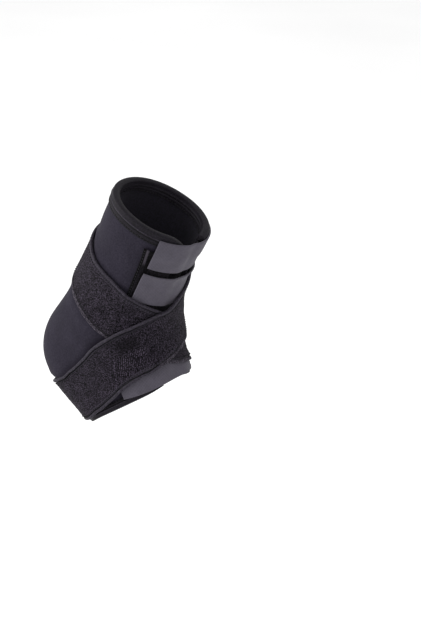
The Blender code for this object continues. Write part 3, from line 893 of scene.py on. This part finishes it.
def loop_pile(name, lump, dark, light, cloth=None, marks=None, plain_or_highlight_mask=None, plain_or_highlight=None):
    """Brushed nylon loops on elastic: tufts that catch the light over dark gaps, drawn coarse to show.

    Marks and the mask take the node tree and the cloth's width. Marks gives back a factor for the colour, with
    painted shade in it.
    The mask gives back 0 where the piece has no tufts, only one plain colour: the plain tape border on a strap,
    and a painted highlight on the closure strip's ridge.
    """
    made, tree = new_material(name)
    tufts = lumps(tree, lump, detail=2.0, roughness=0.75)
    patches = lumps(tree, millimetres=8.0, detail=2.0)
    face = dimmed(tree, graded(tree, tufts, dark, light, low=0.46, high=0.58), patches, least=0.7)
    if marks is not None:
        inputs = {0: face, "Scale": marks(tree, cloth_width(cloth))}
        face = add_node(tree, "ShaderNodeVectorMath", inputs, operation="SCALE")["Vector"]
    if plain_or_highlight_mask is not None:
        inputs = {0: plain_or_highlight_mask(tree, cloth_width(cloth)), 6: colour_of(plain_or_highlight), 7: face}
        face = add_node(tree, "ShaderNodeMix", inputs, data_type="RGBA")[2]
    finish = {"roughness": 0.95, "specular": 0.05, "sheen": 0.03, "sheen_roughness": 0.55}
    return finished(made, face, height=tufts, relief=0.0005, **finish)


def strap_ribs_and_shade(tree, width):
    """The over strap's slanted cross seam, the ribs of its elastic beside it, and painted shade in a hollow."""
    along, across, _ = over_cloth(tree, width)
    inputs = {0: across, 1: OVER_SLANT, 2: along}
    slanted = add_node(tree, "ShaderNodeMath", inputs, operation="MULTIPLY_ADD")[0]
    seam = beside_both(tree, slanted, OVER_SEAM, across, OVER_RIBBED)
    plain = beside_both(tree, slanted, OVER_RIBS, across, OVER_RIBBED)
    where = add_node(tree, "ShaderNodeCombineXYZ", {"X": slanted})["Vector"]
    inputs = {"Vector": where, "Scale": WAVE_PERIOD / RIB_PITCH, "Distortion": 0.0}
    ribs = add_node(tree, "ShaderNodeTexWave", inputs, wave_type="BANDS", bands_direction="X")["Fac"]
    inputs = {"Value": ribs, "To Min": RIB_SHADES[0], "To Max": RIB_SHADES[1]}
    ribs = add_node(tree, "ShaderNodeMapRange", inputs)["Result"]
    factor = add_node(tree, "ShaderNodeMix", {0: plain, 2: ribs, 3: 1.0}, data_type="FLOAT")[0]
    # Painted shade: darker where the hollow's two stripes cross.
    apart = beside_both(tree, along, OVER_HOLLOW_SHADE[0], across, OVER_HOLLOW_SHADE[1])
    for mark, shade in ((seam, SEAM_SHADE), (apart, HOLLOW_SHADE)):
        inputs = {"Value": mark, "To Min": shade, "To Max": 1.0}
        here = add_node(tree, "ShaderNodeMapRange", inputs)["Result"]
        factor = add_node(tree, "ShaderNodeMath", {0: factor, 1: here}, operation="MULTIPLY")[0]
    return factor


def bare_borders(tree, width):
    """The plain tape along the two sides of a strap's pile."""
    _, across, from_last = over_cloth(tree, width)
    return beside_both(tree, across, BORDER, from_last, BORDER, "MULTIPLY")


def strip_painted_shade(tree, width):
    """Painted shade: the dark lines on either side of the closure strip's rolled outer edge."""
    _, _, from_last = over_cloth(tree, width)
    lines = beside_both(tree, from_last, STRIP_SHADE_AT[0], from_last, STRIP_SHADE_AT[1], "MULTIPLY")
    inputs = {"Value": lines, "To Min": LINE_SHADE, "To Max": 1.0}
    return add_node(tree, "ShaderNodeMapRange", inputs)["Result"]


def ridge_highlight_mask(tree, width):
    """A painted highlight on the ridge of the closure strip's rolled edge, near its top."""
    along, _, from_last = over_cloth(tree, width)
    return beside_both(tree, from_last, HIGHLIGHT_ON_RIDGE, along, HIGHLIGHT_STRETCH)


def hook_backing():
    """The woven nylon back of hook tape: an even mid grey, matte, with a fine square weave."""
    made, tree = new_material("woven hook tape back")
    uv = add_node(tree, "ShaderNodeUVMap", uv_map="cloth")["UV"]
    waves = {}
    for number, axis in enumerate("XY"):
        scale = WAVE_PERIOD / bpy.context.scene.brace_sizes.weave_pitch
        inputs = {"Vector": uv, "Scale": scale, "Distortion": 0.0}
        wave = add_node(tree, "ShaderNodeTexWave", inputs, wave_type="BANDS", bands_direction=axis)
        waves[number] = wave["Fac"]
    waves[2] = lumps(tree, millimetres=1.5, detail=3.0, roughness=0.6)
    broad = lumps(tree, millimetres=9.0, detail=2.0)
    weave = add_node(tree, "ShaderNodeMath", waves, operation="MULTIPLY_ADD")[0]
    face = graded(tree, weave, "hook_dark", "hook_light", low=0.35, high=1.3)
    face = dimmed(tree, face, broad, least=0.88)
    return finished(made, face, roughness=0.75, specular=0.2, sheen=0.05, height=weave, relief=0.00006)


def sewing_thread():
    """Bonded polyester thread, near black, with a slight shine on its crowns."""
    made, tree = new_material("polyester thread")
    twist = lumps(tree, millimetres=0.6, detail=1.0)
    return finished(made, graded(tree, twist, "thread", "thread_light"), roughness=0.6, specular=0.15)


def studio_paper():
    """Matte paper of a studio sweep, nearly white."""
    made, tree = new_material("studio paper")
    fibres = lumps(tree, millimetres=400.0, detail=2.0)
    face = graded(tree, fibres, "stage_dark", "stage", low=0.2, high=0.8)
    return finished(made, face, roughness=0.9, specular=0.5)


# The kinds of material: how each is made, and from what. The size of the tufts is in millimetres.
STRAP_TUFT = 0.85
EDGE_TUFT = 0.8
LOOP_TUFT = 1.2
MAKERS = {
    "jersey": (knit_neoprene,),
    "lining": (jersey_lining,),
    "foam": (foam_core,),
    "tape": (folded_tape, "folded nylon tape", "tape_dark", "tape_light"),
    "rim": (folded_tape, "folded elastic tape", "tape_light", "rim"),
    # Tape with painted shade, for the sides of a section that lie in a crease.
    "crease": (folded_tape, "nylon tape in its crease", "thread", "tape_dark"),
    # Tape with a painted highlight, for the ridge of a binding's section.
    "ridge": (folded_tape, "nylon tape on its ridge", "tape_light", "rim"),
    "brushed_edge": (loop_pile, "brushed elastic edge", EDGE_TUFT, "tape_light", "brushed"),
    "foot_loop_patch": (loop_pile, "loop tape", LOOP_TUFT, "loop_dark", "loop_light"),
    # The closure strip's marks are painted shade along its rolled edge, and its plain colour is a painted
    # highlight on the ridge.
    "closure_strip": (
        loop_pile, "rolled loop tape", LOOP_TUFT, "loop_dark", "loop_light",
        # Its plain colour, where the mask is 0, is a painted highlight on the ridge.
        "closure_strip", strip_painted_shade, ridge_highlight_mask, "worn",
    ),
    "under_strap": (
        loop_pile, "loop-faced elastic", STRAP_TUFT, "pile_dark", "pile_light",
        "under_strap", None, bare_borders, "rim",
    ),
    # The over strap's marks hold its ribs and seam, and painted shade in a hollow.
    "over_strap": (
        loop_pile, "ribbed loop-faced elastic", STRAP_TUFT, "pile_dark", "pile_light",
        "over_strap", strap_ribs_and_shade, bare_borders, "rim",
    ),
    "hook": (hook_backing,),
    "thread": (sewing_thread,),
    "stage": (studio_paper,),
}


@cache
def coat(kind):
    """The material of that kind, made at its first use."""
    maker, *given = MAKERS[kind]
    return maker(*given)


def stitch_tree():
    """Geometry nodes that lay a stitch at even steps along each line of a mesh, flat on the cloth."""
    tree = bpy.data.node_groups.new("stitch row", "GeometryNodeTree")
    tree.interface.new_socket("Lines", in_out="INPUT", socket_type="NodeSocketGeometry")
    for name in ("Pitch", "Length", "Width", "Height"):
        tree.interface.new_socket(name, in_out="INPUT", socket_type="NodeSocketFloat")
    tree.interface.new_socket("Thread", in_out="INPUT", socket_type="NodeSocketMaterial")
    tree.interface.new_socket("Stitches", in_out="OUTPUT", socket_type="NodeSocketGeometry")
    given = add_node(tree, "NodeGroupInput")
    curve = add_node(tree, "GeometryNodeMeshToCurve", {"Mesh": given["Lines"]})["Curve"]
    inputs = {"Curve": curve, "Length": given["Pitch"]}
    steps = add_node(tree, "GeometryNodeResampleCurve", inputs, mode="LENGTH")["Curve"]
    tangent = add_node(tree, "GeometryNodeInputTangent")["Tangent"]
    ahead = add_node(tree, "FunctionNodeAlignRotationToVector", {"Vector": tangent}, axis="X")
    up = add_node(tree, "GeometryNodeInputNamedAttribute", {"Name": "up"}, data_type="FLOAT_VECTOR")
    inputs = {"Rotation": ahead["Rotation"], "Vector": up["Attribute"]}
    flat = add_node(tree, "FunctionNodeAlignRotationToVector", inputs, axis="Z", pivot_axis="X")
    inputs = {"X": given["Length"], "Y": given["Width"], "Z": given["Height"]}
    size = add_node(tree, "ShaderNodeCombineXYZ", inputs)
    bead = add_node(tree, "GeometryNodeMeshUVSphere", {"Segments": 8, "Rings": 5, "Radius": 0.5})
    inputs = {
        "Points": steps,
        "Instance": bead["Mesh"],
        "Rotation": flat["Rotation"],
        "Scale": size["Vector"],
    }
    copies = add_node(tree, "GeometryNodeInstanceOnPoints", inputs)["Instances"]
    real = add_node(tree, "GeometryNodeRealizeInstances", {"Geometry": copies})["Geometry"]
    smooth = add_node(tree, "GeometryNodeSetShadeSmooth", {"Geometry": real})["Geometry"]
    coated = add_node(tree, "GeometryNodeSetMaterial", {"Geometry": smooth, "Material": given["Thread"]})
    add_node(tree, "NodeGroupOutput", {"Stitches": coated["Geometry"]})
    return tree


def sew(name, rows):
    """Stitches along rows of (points, normals), as one plain mesh."""
    sizes = bpy.context.scene.brace_sizes
    mesh = bpy.data.meshes.new(name + "_lines")
    edges = []
    start = 0
    for points, _ in rows:
        edges += [(start + i, start + i + 1) for i in range(len(points) - 1)]
        start += len(points)
    mesh.from_pydata(np.concatenate([row[0] for row in rows]).tolist(), edges, [])
    up = mesh.attributes.new("up", "FLOAT_VECTOR", "POINT")
    up.data.foreach_set("vector", np.concatenate([row[1] for row in rows]).astype(np.float32).reshape(-1))
    lines = linked(name + "_lines", mesh)
    tree = bpy.data.node_groups.get("stitch row") or stitch_tree()
    modifier = lines.modifiers.new("stitches", "NODES")
    modifier.node_group = tree
    values = {
        "Pitch": sizes.stitch_pitch,
        "Length": sizes.stitch_length,
        "Width": sizes.thread_width,
        "Height": sizes.thread_width * THREAD_FLATNESS,
        "Thread": coat("thread"),
    }
    for item in tree.interface.items_tree:
        if item.name in values:
            modifier[item.identifier] = values[item.name]
    bpy.context.view_layer.update()
    graph = bpy.context.evaluated_depsgraph_get()
    made = bpy.data.meshes.new_from_object(lines.evaluated_get(graph))
    made.name = name
    bpy.data.objects.remove(lines)
    obj = linked(name, made)
    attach(obj, "root")
    return obj


def seam_line(cloth, inset, height):
    """Points and normals of a line along a cloth, that far in from its first column's border."""
    down, over = cloth_runs(cloth, cloth.thick)
    count = round((down[-1] - 2 * SEAM_TRIM) / SEAM_STEP)
    marks = np.linspace(SEAM_TRIM, down[-1] - SEAM_TRIM, count)
    rows = np.interp(marks, down, np.arange(len(down)))
    column = np.interp([inset], over, np.arange(len(over)))
    stations, angles, low = (refined(grid, rows, column)[:, 0] for grid in cloth[:3])
    return place(stations, angles, low + height), lift(stations, angles)


def side_lines(cloth, inset, height):
    """The same along both sides of the cloth."""
    mirrored = Cloth(*(grid[:, ::-1] for grid in cloth[:3]), cloth.thick)
    return [seam_line(side, inset, height) for side in (cloth, mirrored)]


def cross_lines(cloth, distances, height):
    """The same across the cloth, that far from its start."""
    turned = Cloth(*(grid.T for grid in cloth[:3]), cloth.thick)
    return [seam_line(turned, distance, height) for distance in distances]


def dress(obj, node):
    """The piece stands for its CAD node."""
    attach(obj, "root")
    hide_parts(node)
    return obj


def cloth_width(name):
    cloth = layout.cloths[name]
    return float(cloth_runs(cloth, cloth.thick)[1][-1])


def flat_length(cloth):
    return round(float(cloth_runs(cloth, 0.0)[0][-1]), 4)


def metres(name, description, default):
    return bpy.props.FloatProperty(name=name, description=description, default=default, unit="LENGTH")


def hex_colour(name, description, default):
    return bpy.props.StringProperty(name=name, description=description, default=default)


class BraceSizes(bpy.types.PropertyGroup):
    """Sizes of the dressed cloth's detail."""

    stitch_pitch: metres("Stitch pitch", "From one stitch to the next", 0.0024)
    stitch_length: metres("Stitch length", "Length of thread that shows", 0.0015)
    thread_width: metres("Thread width", "Width of the sewing thread", 0.0010)
    pile_height: metres("Pile height", "How far the strap's loops stand out", 0.00022)
    knit_grain: metres("Knit grain", "Size of the jersey's grain, drawn coarse to show", 0.0012)
    weave_pitch: metres("Weave pitch", "Thread spacing of the hook tape's back", 0.0011)


class BraceColours(bpy.types.PropertyGroup):
    """Colours as sRGB hex values."""

    jersey_dark: hex_colour("Jersey dark", "Between the knit's threads", "201d27")
    jersey_light: hex_colour("Jersey light", "On the knit's threads", "2a2731")
    lining: hex_colour("Lining", "Inner jersey, dark", "17161a")
    foam_dark: hex_colour("Foam dark", "Cells of the foam's edge", "0c0c0e")
    foam_light: hex_colour("Foam light", "Walls of the foam's edge", "1f1e22")
    tape_dark: hex_colour("Tape dark", "Edge tape in its folds", "0e0c10")
    tape_light: hex_colour("Tape light", "Edge tape on its ribs", "1c1920")
    rim: hex_colour("Strap rim", "Folded edge tape of the straps", "36323b")
    brushed: hex_colour("Brushed edge", "Where an edge tape is brushed flat", "544f58")
    pile_dark: hex_colour("Pile dark", "Between the strap's loops", "030304")
    pile_light: hex_colour("Pile light", "On the strap's loops", "3a343f")
    loop_dark: hex_colour("Loop dark", "Between the closure's loops", "0b0a0c")
    loop_light: hex_colour("Loop light", "On the closure's loops", "1d1a20")
    # The colour of the painted highlight on the closure strip's ridge, near its top.
    worn: hex_colour("Worn ridge", "Where the closure strip is worn smooth", "3b373e")
    hook_dark: hex_colour("Hook back dark", "Weave of the tabs, dark", "403d46")
    hook_light: hex_colour("Hook back light", "Weave of the tabs, light", "514d57")
    thread: hex_colour("Thread", "Sewing thread", "050506")
    thread_light: hex_colour("Thread light", "Crowns of the sewing thread", "1c1b1f")
    stage: hex_colour("Stage", "Studio paper", "ffffff")
    stage_dark: hex_colour("Stage dark", "Studio paper between its fibres", "f8f8f8")


class BRACE_OT_wrap(bpy.types.Operator):
    """Neoprene wrap with its lining and cut foam edges"""

    bl_idname = "brace.wrap"
    bl_label = "Neoprene wrap"

    # The cloth is pressed in under a strap, as far as this from the strap's points, and bulges beside it.
    PINCH = 0.00025
    PINCH_REACH = 0.0015
    BULGE = 0.0006
    BULGE_AT = 0.0052
    BULGE_WIDTH = 0.0028
    # Soft waves all over it. They and the bulges begin this far from its edges, and grow over this width.
    WAVES = 0.00035
    WAVE_SIZE = 0.022
    WAVE_SEED = 3.0
    CLEAR_FROM = 0.009
    CLEAR_OVER = 0.006

    def execute(self, context):
        angles = angles_round(WRAP_STEP)
        share = spacing(WRAP_LINE, WRAP_STEP)[:, None]
        stations = rim_station(angles, False) * (1 - share) + rim_station(angles, True) * share
        angles = np.broadcast_to(angles, stations.shape)
        inside = place(stations, angles, 0.0)
        from_rims = from_ends(inside, 0)
        from_front = from_ends(inside, 1)
        full = np.minimum(fullness(from_rims), fullness(from_front))
        apart = layout.layers.away(stations, angles, layout.first_strap)
        bulge = self.BULGE * bell(apart - self.BULGE_AT, self.BULGE_WIDTH)
        bulge = bulge - self.PINCH * (apart < self.PINCH_REACH)
        soft = self.WAVES * grain(inside, self.WAVE_SIZE, self.WAVE_SEED)
        clear = np.clip((np.minimum(from_rims, from_front) - self.CLEAR_FROM) / self.CLEAR_OVER, 0, 1)
        upper = place(stations, angles, NEOPRENE_THICK / 2 * (1 + full) + (bulge + soft) * clear)
        under = place(stations, angles, NEOPRENE_THICK / 2 * (1 - full))
        coats = [coat("lining"), coat("jersey"), coat("foam")]
        obj = two_sided("boot_wrap_cloth", under, upper, coats, foam=True)
        dress(obj, "boot_wrap")
        return {"FINISHED"}


class BRACE_OT_bindings(bpy.types.Operator):
    """Folded tapes over the two rims, with their stitches"""

    bl_idname = "brace.bindings"
    bl_label = "Rim bindings"

    # Where the tape's fold line, its row of stitches and its ridge lie, as shares of its depth.
    FOLD_SHARE = 0.56
    SEAM_SHARE = 0.90
    RIDGE_SHARE = 0.40
    # How deep the fold and the seam draw in, how high the ridge stands, and how wide they are.
    DRAW_IN = 0.00055
    FOLD_WIDTH = 0.00060
    CREASE_HALF = 0.00055
    RIDGE_RISE = 0.00050
    RIDGE_WIDTH = 0.00075
    RIDGE_HALF = 0.00035
    # How deep the stitches lie in the seam, as a share of DRAW_IN, and the points left free at each end.
    STITCH_BED = 0.6
    STITCH_TRIM = 6
    # The tape's wrinkles, and its height at its two ends.
    WRINKLE = 0.00012
    WRINKLE_SIZE = 0.005
    WRINKLE_SEED = 7.0
    END_HEIGHT = 0.9
    # Points of the section: down one face, and round the rim.
    FACE_POINTS = 27
    BEND_POINTS = 11

    def execute(self, context):
        angles = angles_round(TAPE_STEP)
        ends = np.minimum(angles - angles[0], angles[-1] - angles) * DEGREE_LENGTH
        end_height = self.END_HEIGHT + (1 - self.END_HEIGHT) * fullness(ends)
        middle = NEOPRENE_THICK / 2
        trim = slice(self.STITCH_TRIM, -self.STITCH_TRIM)
        # Slot 1 is tape with painted shade in its creases, and slot 2 is tape with a painted highlight on its
        # ridge.
        coats = [coat("tape"), coat("crease"), coat("ridge")]
        for name, last, reach in BINDINGS:
            rim = rim_station(angles, last)
            scale = rim_scale(angles, last)
            wrinkle = self.WRINKLE * grain(place(rim, angles, 0.0), self.WRINKLE_SIZE, self.WRINKLE_SEED)
            rings = []
            for depth, height in self.profile(reach):
                tall = middle + (height - middle) * end_height
                if height > NEOPRENE_THICK + FIT_GAP:
                    tall = tall + wrinkle * math.sin(math.pi * np.clip(depth / reach, 0, 1))
                rings.append(place(rim + depth * scale, angles, tall))
            dress(swept(name + "_tape", np.stack(rings, 1), coats, self.sides(reach)), name)
            rows = []
            for sign in (1.0, -1.0):
                bed = middle + sign * (middle + FIT_GAP + BINDING_THICK - self.DRAW_IN * self.STITCH_BED)
                line = place(rim + reach * self.SEAM_SHARE * scale, angles, bed)
                rows.append((line[trim], sign * lift(rim, angles)[trim]))
            sew(name + "_stitches", rows)
        return {"FINISHED"}

    def sides(self, reach):
        """Slot 1, tape with painted shade, for the sides of the section in a crease of the outer face, and 2,
        tape with a painted highlight, for those on its ridge.
        """
        depths = [row[0] for row in self.profile(reach)]
        slots = [0] * len(depths)
        for number in range(self.FACE_POINTS - 1):
            middle = (depths[number] + depths[number + 1]) / 2
            creases = (reach * self.FOLD_SHARE, reach * self.SEAM_SHARE)
            if min(abs(middle - crease) for crease in creases) < self.CREASE_HALF:
                slots[number] = 1
            elif abs(middle - reach * self.RIDGE_SHARE) < self.RIDGE_HALF:
                slots[number] = 2
        return slots

    def profile(self, reach):
        """The folded tape's section: depth into the wrap, and height."""
        near = -FIT_GAP
        outer = NEOPRENE_THICK + FIT_GAP
        middle = NEOPRENE_THICK / 2
        radius = middle - near + BINDING_THICK
        outside = []
        for share in np.linspace(1, 0, self.FACE_POINTS):
            drawn = bell((share - self.FOLD_SHARE) * reach, self.FOLD_WIDTH)
            drawn += bell((share - self.SEAM_SHARE) * reach, self.FOLD_WIDTH)
            ridge = bell((share - self.RIDGE_SHARE) * reach, self.RIDGE_WIDTH)
            height = outer + BINDING_THICK + self.RIDGE_RISE * ridge - self.DRAW_IN * drawn
            outside.append((reach * share, height))
        bend = []
        for turn in np.linspace(0, math.pi, self.BEND_POINTS)[1:-1]:
            bend.append(((near - BINDING_THICK) * math.sin(turn), middle + radius * math.cos(turn)))
        inside = [(depth, 2 * middle - height) for depth, height in reversed(outside)]
        return outside + bend + inside + [(reach, near), (near, near), (near, outer), (reach, outer)]


class BRACE_OT_loops(bpy.types.Operator):
    """Loop strip beside the front edge, and the loop patch by the foot"""

    bl_idname = "brace.loops"
    bl_label = "Loop strip and patch"

    TUFT = 0.0011
    TUFT_SEED = 5.0
    # The rolled outer edge: its ridge and the fold beside it.
    RIDGE_RISE = 0.00038
    RIDGE_WIDTH = 0.0009
    FOLD_DEPTH = 0.00035
    FOLD_WIDTH = 0.0007
    STITCH_INSET = 0.0012

    def execute(self, context):
        pile = context.scene.brace_sizes.pile_height

        def tufts(points, from_sides, from_last):
            ridge = self.RIDGE_RISE * bell(from_last - EDGE_RIDGE, self.RIDGE_WIDTH)
            fold = self.FOLD_DEPTH * bell(from_last - EDGE_FOLD, self.FOLD_WIDTH)
            return pile * grain(points, self.TUFT, self.TUFT_SEED) + ridge - fold

        rows = []
        for name in ("closure_strip", "foot_loop_patch"):
            cloth = layout.cloths[name]
            dress(build_cloth(name + "_pile", cloth, PILE_STEP, [coat(name)], tufts), name)
            rows += side_lines(cloth, self.STITCH_INSET, LOOP_THICK + LOOP_LIFT)
        sew("loop_stitches", rows)
        return {"FINISHED"}


class BRACE_OT_tabs(bpy.types.Operator):
    """Three hook tabs across the front gap, sewn down on the inner side"""

    bl_idname = "brace.tabs"
    bl_label = "Hook tabs"

    # The sewn end's two cross rows from its edge, its side rows' inset, and how many points those run.
    SEWN_AT = (0.0016, 0.0100)
    SIDE_INSET = 0.0016
    SIDE_POINTS = 9

    def execute(self, context):
        rows = []
        for name in ("upper_tab", "middle_tab", "lower_tab"):
            cloth = layout.cloths[name]
            obj = dress(build_cloth(name + "_tape", cloth, TAB_FINE_STEP, [coat("hook")]), name)
            flat = (TAB_HEIGHT, flat_length(cloth))
            rows += cross_lines(cloth, self.SEWN_AT, TAB_THICK)
            for points, normals in side_lines(cloth, self.SIDE_INSET, TAB_THICK):
                rows.append((points[: self.SIDE_POINTS], normals[: self.SIDE_POINTS]))
        sew("tab_stitches", rows)
        return {"FINISHED"}


class BRACE_OT_straps(bpy.types.Operator):
    """Two loop-faced straps with folded edge tapes, stitches and hook ends"""

    bl_idname = "brace.straps"
    bl_label = "Straps"

    # The loops' tufts, and the clumps over them, which are twice as wide and half as high.
    TUFT = 0.0012
    TUFT_SEEDS = {"under_strap": 11.0, "over_strap": 23.0}
    # How far the plain border lies below the loops, and where the loops start, as a share of its width.
    BORDER_DROP = 0.0003
    LOOPS_FROM = 0.8
    # The cross rows of stitches, from the strap's start.
    SEWN_AT = (0.004, 0.012)
    # The rims that are brushed flat, how far along the strap that starts, and over what length they flatten.
    BRUSHED_FROM = {("under_strap", "left"): 0.0, ("over_strap", "right"): 0.118}
    BRUSHED_OVER = 0.01
    # The sides of a rim's section, those in the crease beside the pile, which are painted with shade, and how
    # square it is across and up.
    RIM_SIDES = 16
    SHADED_CREASE = (5, 6, 7)
    RIM_POWERS = (0.7, 0.8)

    def execute(self, context):
        for name, seed in self.TUFT_SEEDS.items():
            self.strap(name, seed, context.scene.brace_sizes.pile_height)
        return {"FINISHED"}

    def strap(self, name, seed, pile):
        cloth = layout.cloths[name]

        def tufts(points, from_sides, from_last):
            clumps = 0.5 * grain(points, 2 * self.TUFT, seed + 1)
            inside = np.clip(from_sides / BORDER_WIDTH - self.LOOPS_FROM, 0, 1)
            return pile * (grain(points, self.TUFT, seed) + clumps) * inside - self.BORDER_DROP * (1 - inside)

        obj = dress(build_cloth(name + "_pile", cloth, PILE_STEP, [coat(name)], tufts), name)
        pieces = [self.rim(name, side) for side in ("left", "right")]
        tip = build_cloth(name + "_tip_tape", layout.cloths[name + "_tip"], TAB_FINE_STEP, [coat("hook")])
        pieces.append(dress(tip, name + "_tip"))
        rows = side_lines(cloth, BORDER_WIDTH, STRAP_THICK + LOOP_LIFT)
        rows += cross_lines(cloth, self.SEWN_AT, STRAP_THICK)
        pieces.append(sew(name + "_stitches", rows))
        flat = (STRAP_WIDTH, flat_length(cloth))

    def rim(self, name, side):
        """A rounded tape between two lines of the strap's grid, flatter where it is brushed."""
        cloth = layout.cloths[f"{name}_{side}"]
        down, _ = cloth_runs(cloth, 0.0)
        rows = np.interp(spacing(down[-1], TAPE_STEP), down / down[-1], np.arange(len(down)))
        stations, angles, low = (between_rows(grid, rows) for grid in cloth[:3])
        edge, seam = np.moveaxis(place(stations, angles, low), 1, 0)
        up = lift(stations.mean(1), angles.mean(1))
        fine_down, _ = runs(edge[:, None])
        start = self.BRUSHED_FROM.get((name, side), math.inf)
        tall = STRAP_THICK + STRAP_RIM_RISE * np.clip((start - fine_down) / self.BRUSHED_OVER, 0, 1)[:, None]
        centre = (edge + seam) / 2 + up * tall / 2
        half = (edge - seam) / 2
        full = fullness(np.minimum(fine_down, fine_down[-1] - fine_down))[:, None]
        rings = []
        for turn in np.linspace(0, 2 * math.pi, self.RIM_SIDES + 1)[:-1]:
            shape = (math.cos(turn), math.sin(turn))
            wide, rise = (math.copysign(abs(one) ** power, one) for one, power in zip(shape, self.RIM_POWERS))
            rings.append(centre + full * (half * wide + up * rise * tall / 2))
        # The third coat is tape with painted shade, for the sides in the crease beside the pile.
        coats = [coat("rim"), coat("brushed_edge"), coat("crease")]
        sides = [2 if number in self.SHADED_CREASE else 0 for number in range(self.RIM_SIDES)]
        second_from = int(np.searchsorted(fine_down, start))
        piece = swept(f"{name}_rim_{side}_tape", np.stack(rings, 1), coats, sides, second_from)
        return dress(piece, f"{name}_rim_{side}")


class BRACE_OT_stage(bpy.types.Operator):
    """Pale floor, soft studio light and the photograph's camera"""

    bl_idname = "brace.stage"
    bl_label = "Stage"

    FLOOR_DROP = 0.16
    FLOOR_SIZE = 8.0
    # Each light's place, size and power, and the strength of the white sky.
    LIGHTS = {"key light": ((-1.3, -0.8, 0.95), 1.0, 27.0), "fill light": ((1.3, -0.9, 0.5), 1.2, 3.0)}
    SKY_STRENGTH = 0.95

    def execute(self, context):
        scene = context.scene
        self.floor(CAD_BOX[0][2] - self.FLOOR_DROP)
        for name, (position, size, power) in self.LIGHTS.items():
            self.light(name, position, size, power)
        world = bpy.data.worlds.new("studio")
        world.use_nodes = True
        sky = world.node_tree.nodes["Background"]
        sky.inputs["Color"].default_value = (1.0, 1.0, 1.0, 1.0)
        sky.inputs["Strength"].default_value = self.SKY_STRENGTH
        scene.world = world
        scene.view_settings.view_transform = "Standard"
        self.camera(scene)
        return {"FINISHED"}

    def floor(self, height):
        half = self.FLOOR_SIZE / 2
        mesh = bpy.data.meshes.new("studio_floor")
        corners = [(x, y, height) for x, y in ((-half, -half), (half, -half), (half, half), (-half, half))]
        mesh.from_pydata(corners, [], [(0, 1, 2, 3)])
        mesh.materials.append(coat("stage"))
        linked("studio_floor", mesh)

    def light(self, name, position, size, power):
        lamp = bpy.data.lights.new(name, "AREA")
        lamp.shape = "DISK"
        lamp.size = size
        lamp.energy = power
        obj = linked(name, lamp)
        obj.location = position
        obj.rotation_mode = "QUATERNION"
        obj.rotation_quaternion = Vector(position).to_track_quat("Z", "Y")

    def camera(self, scene):
        """Stands where the photograph was taken from, and is turned so that the origin falls on its pixel."""
        flat = math.cos(CAMERA_ELEVATION)
        sine = math.sin(CAMERA_AZIMUTH)
        cosine = math.cos(CAMERA_AZIMUTH)
        back = Vector((sine * flat, -cosine * flat, math.sin(CAMERA_ELEVATION)))
        right = Vector((cosine, sine, 0.0))
        facing = Matrix((right, back.cross(right), back)).transposed()
        focal = PIXELS_PER_METRE * CAMERA_DISTANCE
        off_x = (ORIGIN_PIXEL[0] - IMAGE_SIZE[0] / 2) / focal
        off_y = (IMAGE_SIZE[1] / 2 - ORIGIN_PIXEL[1]) / focal
        turn = Vector((off_x, off_y, -1.0)).rotation_difference(Vector((0.0, 0.0, -1.0))).to_matrix()
        data = bpy.data.cameras.new("photograph camera")
        data.sensor_width = SENSOR_WIDTH
        data.lens = focal / max(IMAGE_SIZE) * SENSOR_WIDTH
        obj = linked("photograph camera", data)
        obj.matrix_world = Matrix.Translation(back * CAMERA_DISTANCE) @ (facing @ turn).to_4x4()
        scene.camera = obj


class BRACE_PT_panel(bpy.types.Panel):
    """Lists the brace's pieces in the sidebar"""

    bl_label = "Ankle brace"
    bl_idname = "BRACE_PT_panel"
    bl_space_type = "VIEW_3D"
    bl_region_type = "UI"
    bl_category = "Ankle brace"

    def draw(self, context):
        for operator in OPERATORS:
            self.layout.operator(operator.bl_idname)
        for group in (context.scene.brace_sizes, context.scene.brace_colours):
            for name in group.__annotations__:
                self.layout.prop(group, name)


OPERATORS = (BRACE_OT_wrap, BRACE_OT_bindings, BRACE_OT_loops, BRACE_OT_tabs, BRACE_OT_straps, BRACE_OT_stage)
CLASSES = (BraceSizes, BraceColours, *OPERATORS, BRACE_PT_panel)


def register():
    for one in CLASSES:
        bpy.utils.register_class(one)
    bpy.types.Scene.brace_sizes = bpy.props.PointerProperty(type=BraceSizes)
    bpy.types.Scene.brace_colours = bpy.props.PointerProperty(type=BraceColours)


def unregister():
    del bpy.types.Scene.brace_colours
    del bpy.types.Scene.brace_sizes
    for one in reversed(CLASSES):
        bpy.utils.unregister_class(one)


def main():
    register()
    bpy.ops.brace.wrap()
    bpy.ops.brace.bindings()
    bpy.ops.brace.loops()
    bpy.ops.brace.tabs()
    bpy.ops.brace.straps()
    bpy.ops.brace.stage()


if __name__ == "__main__":
    main()
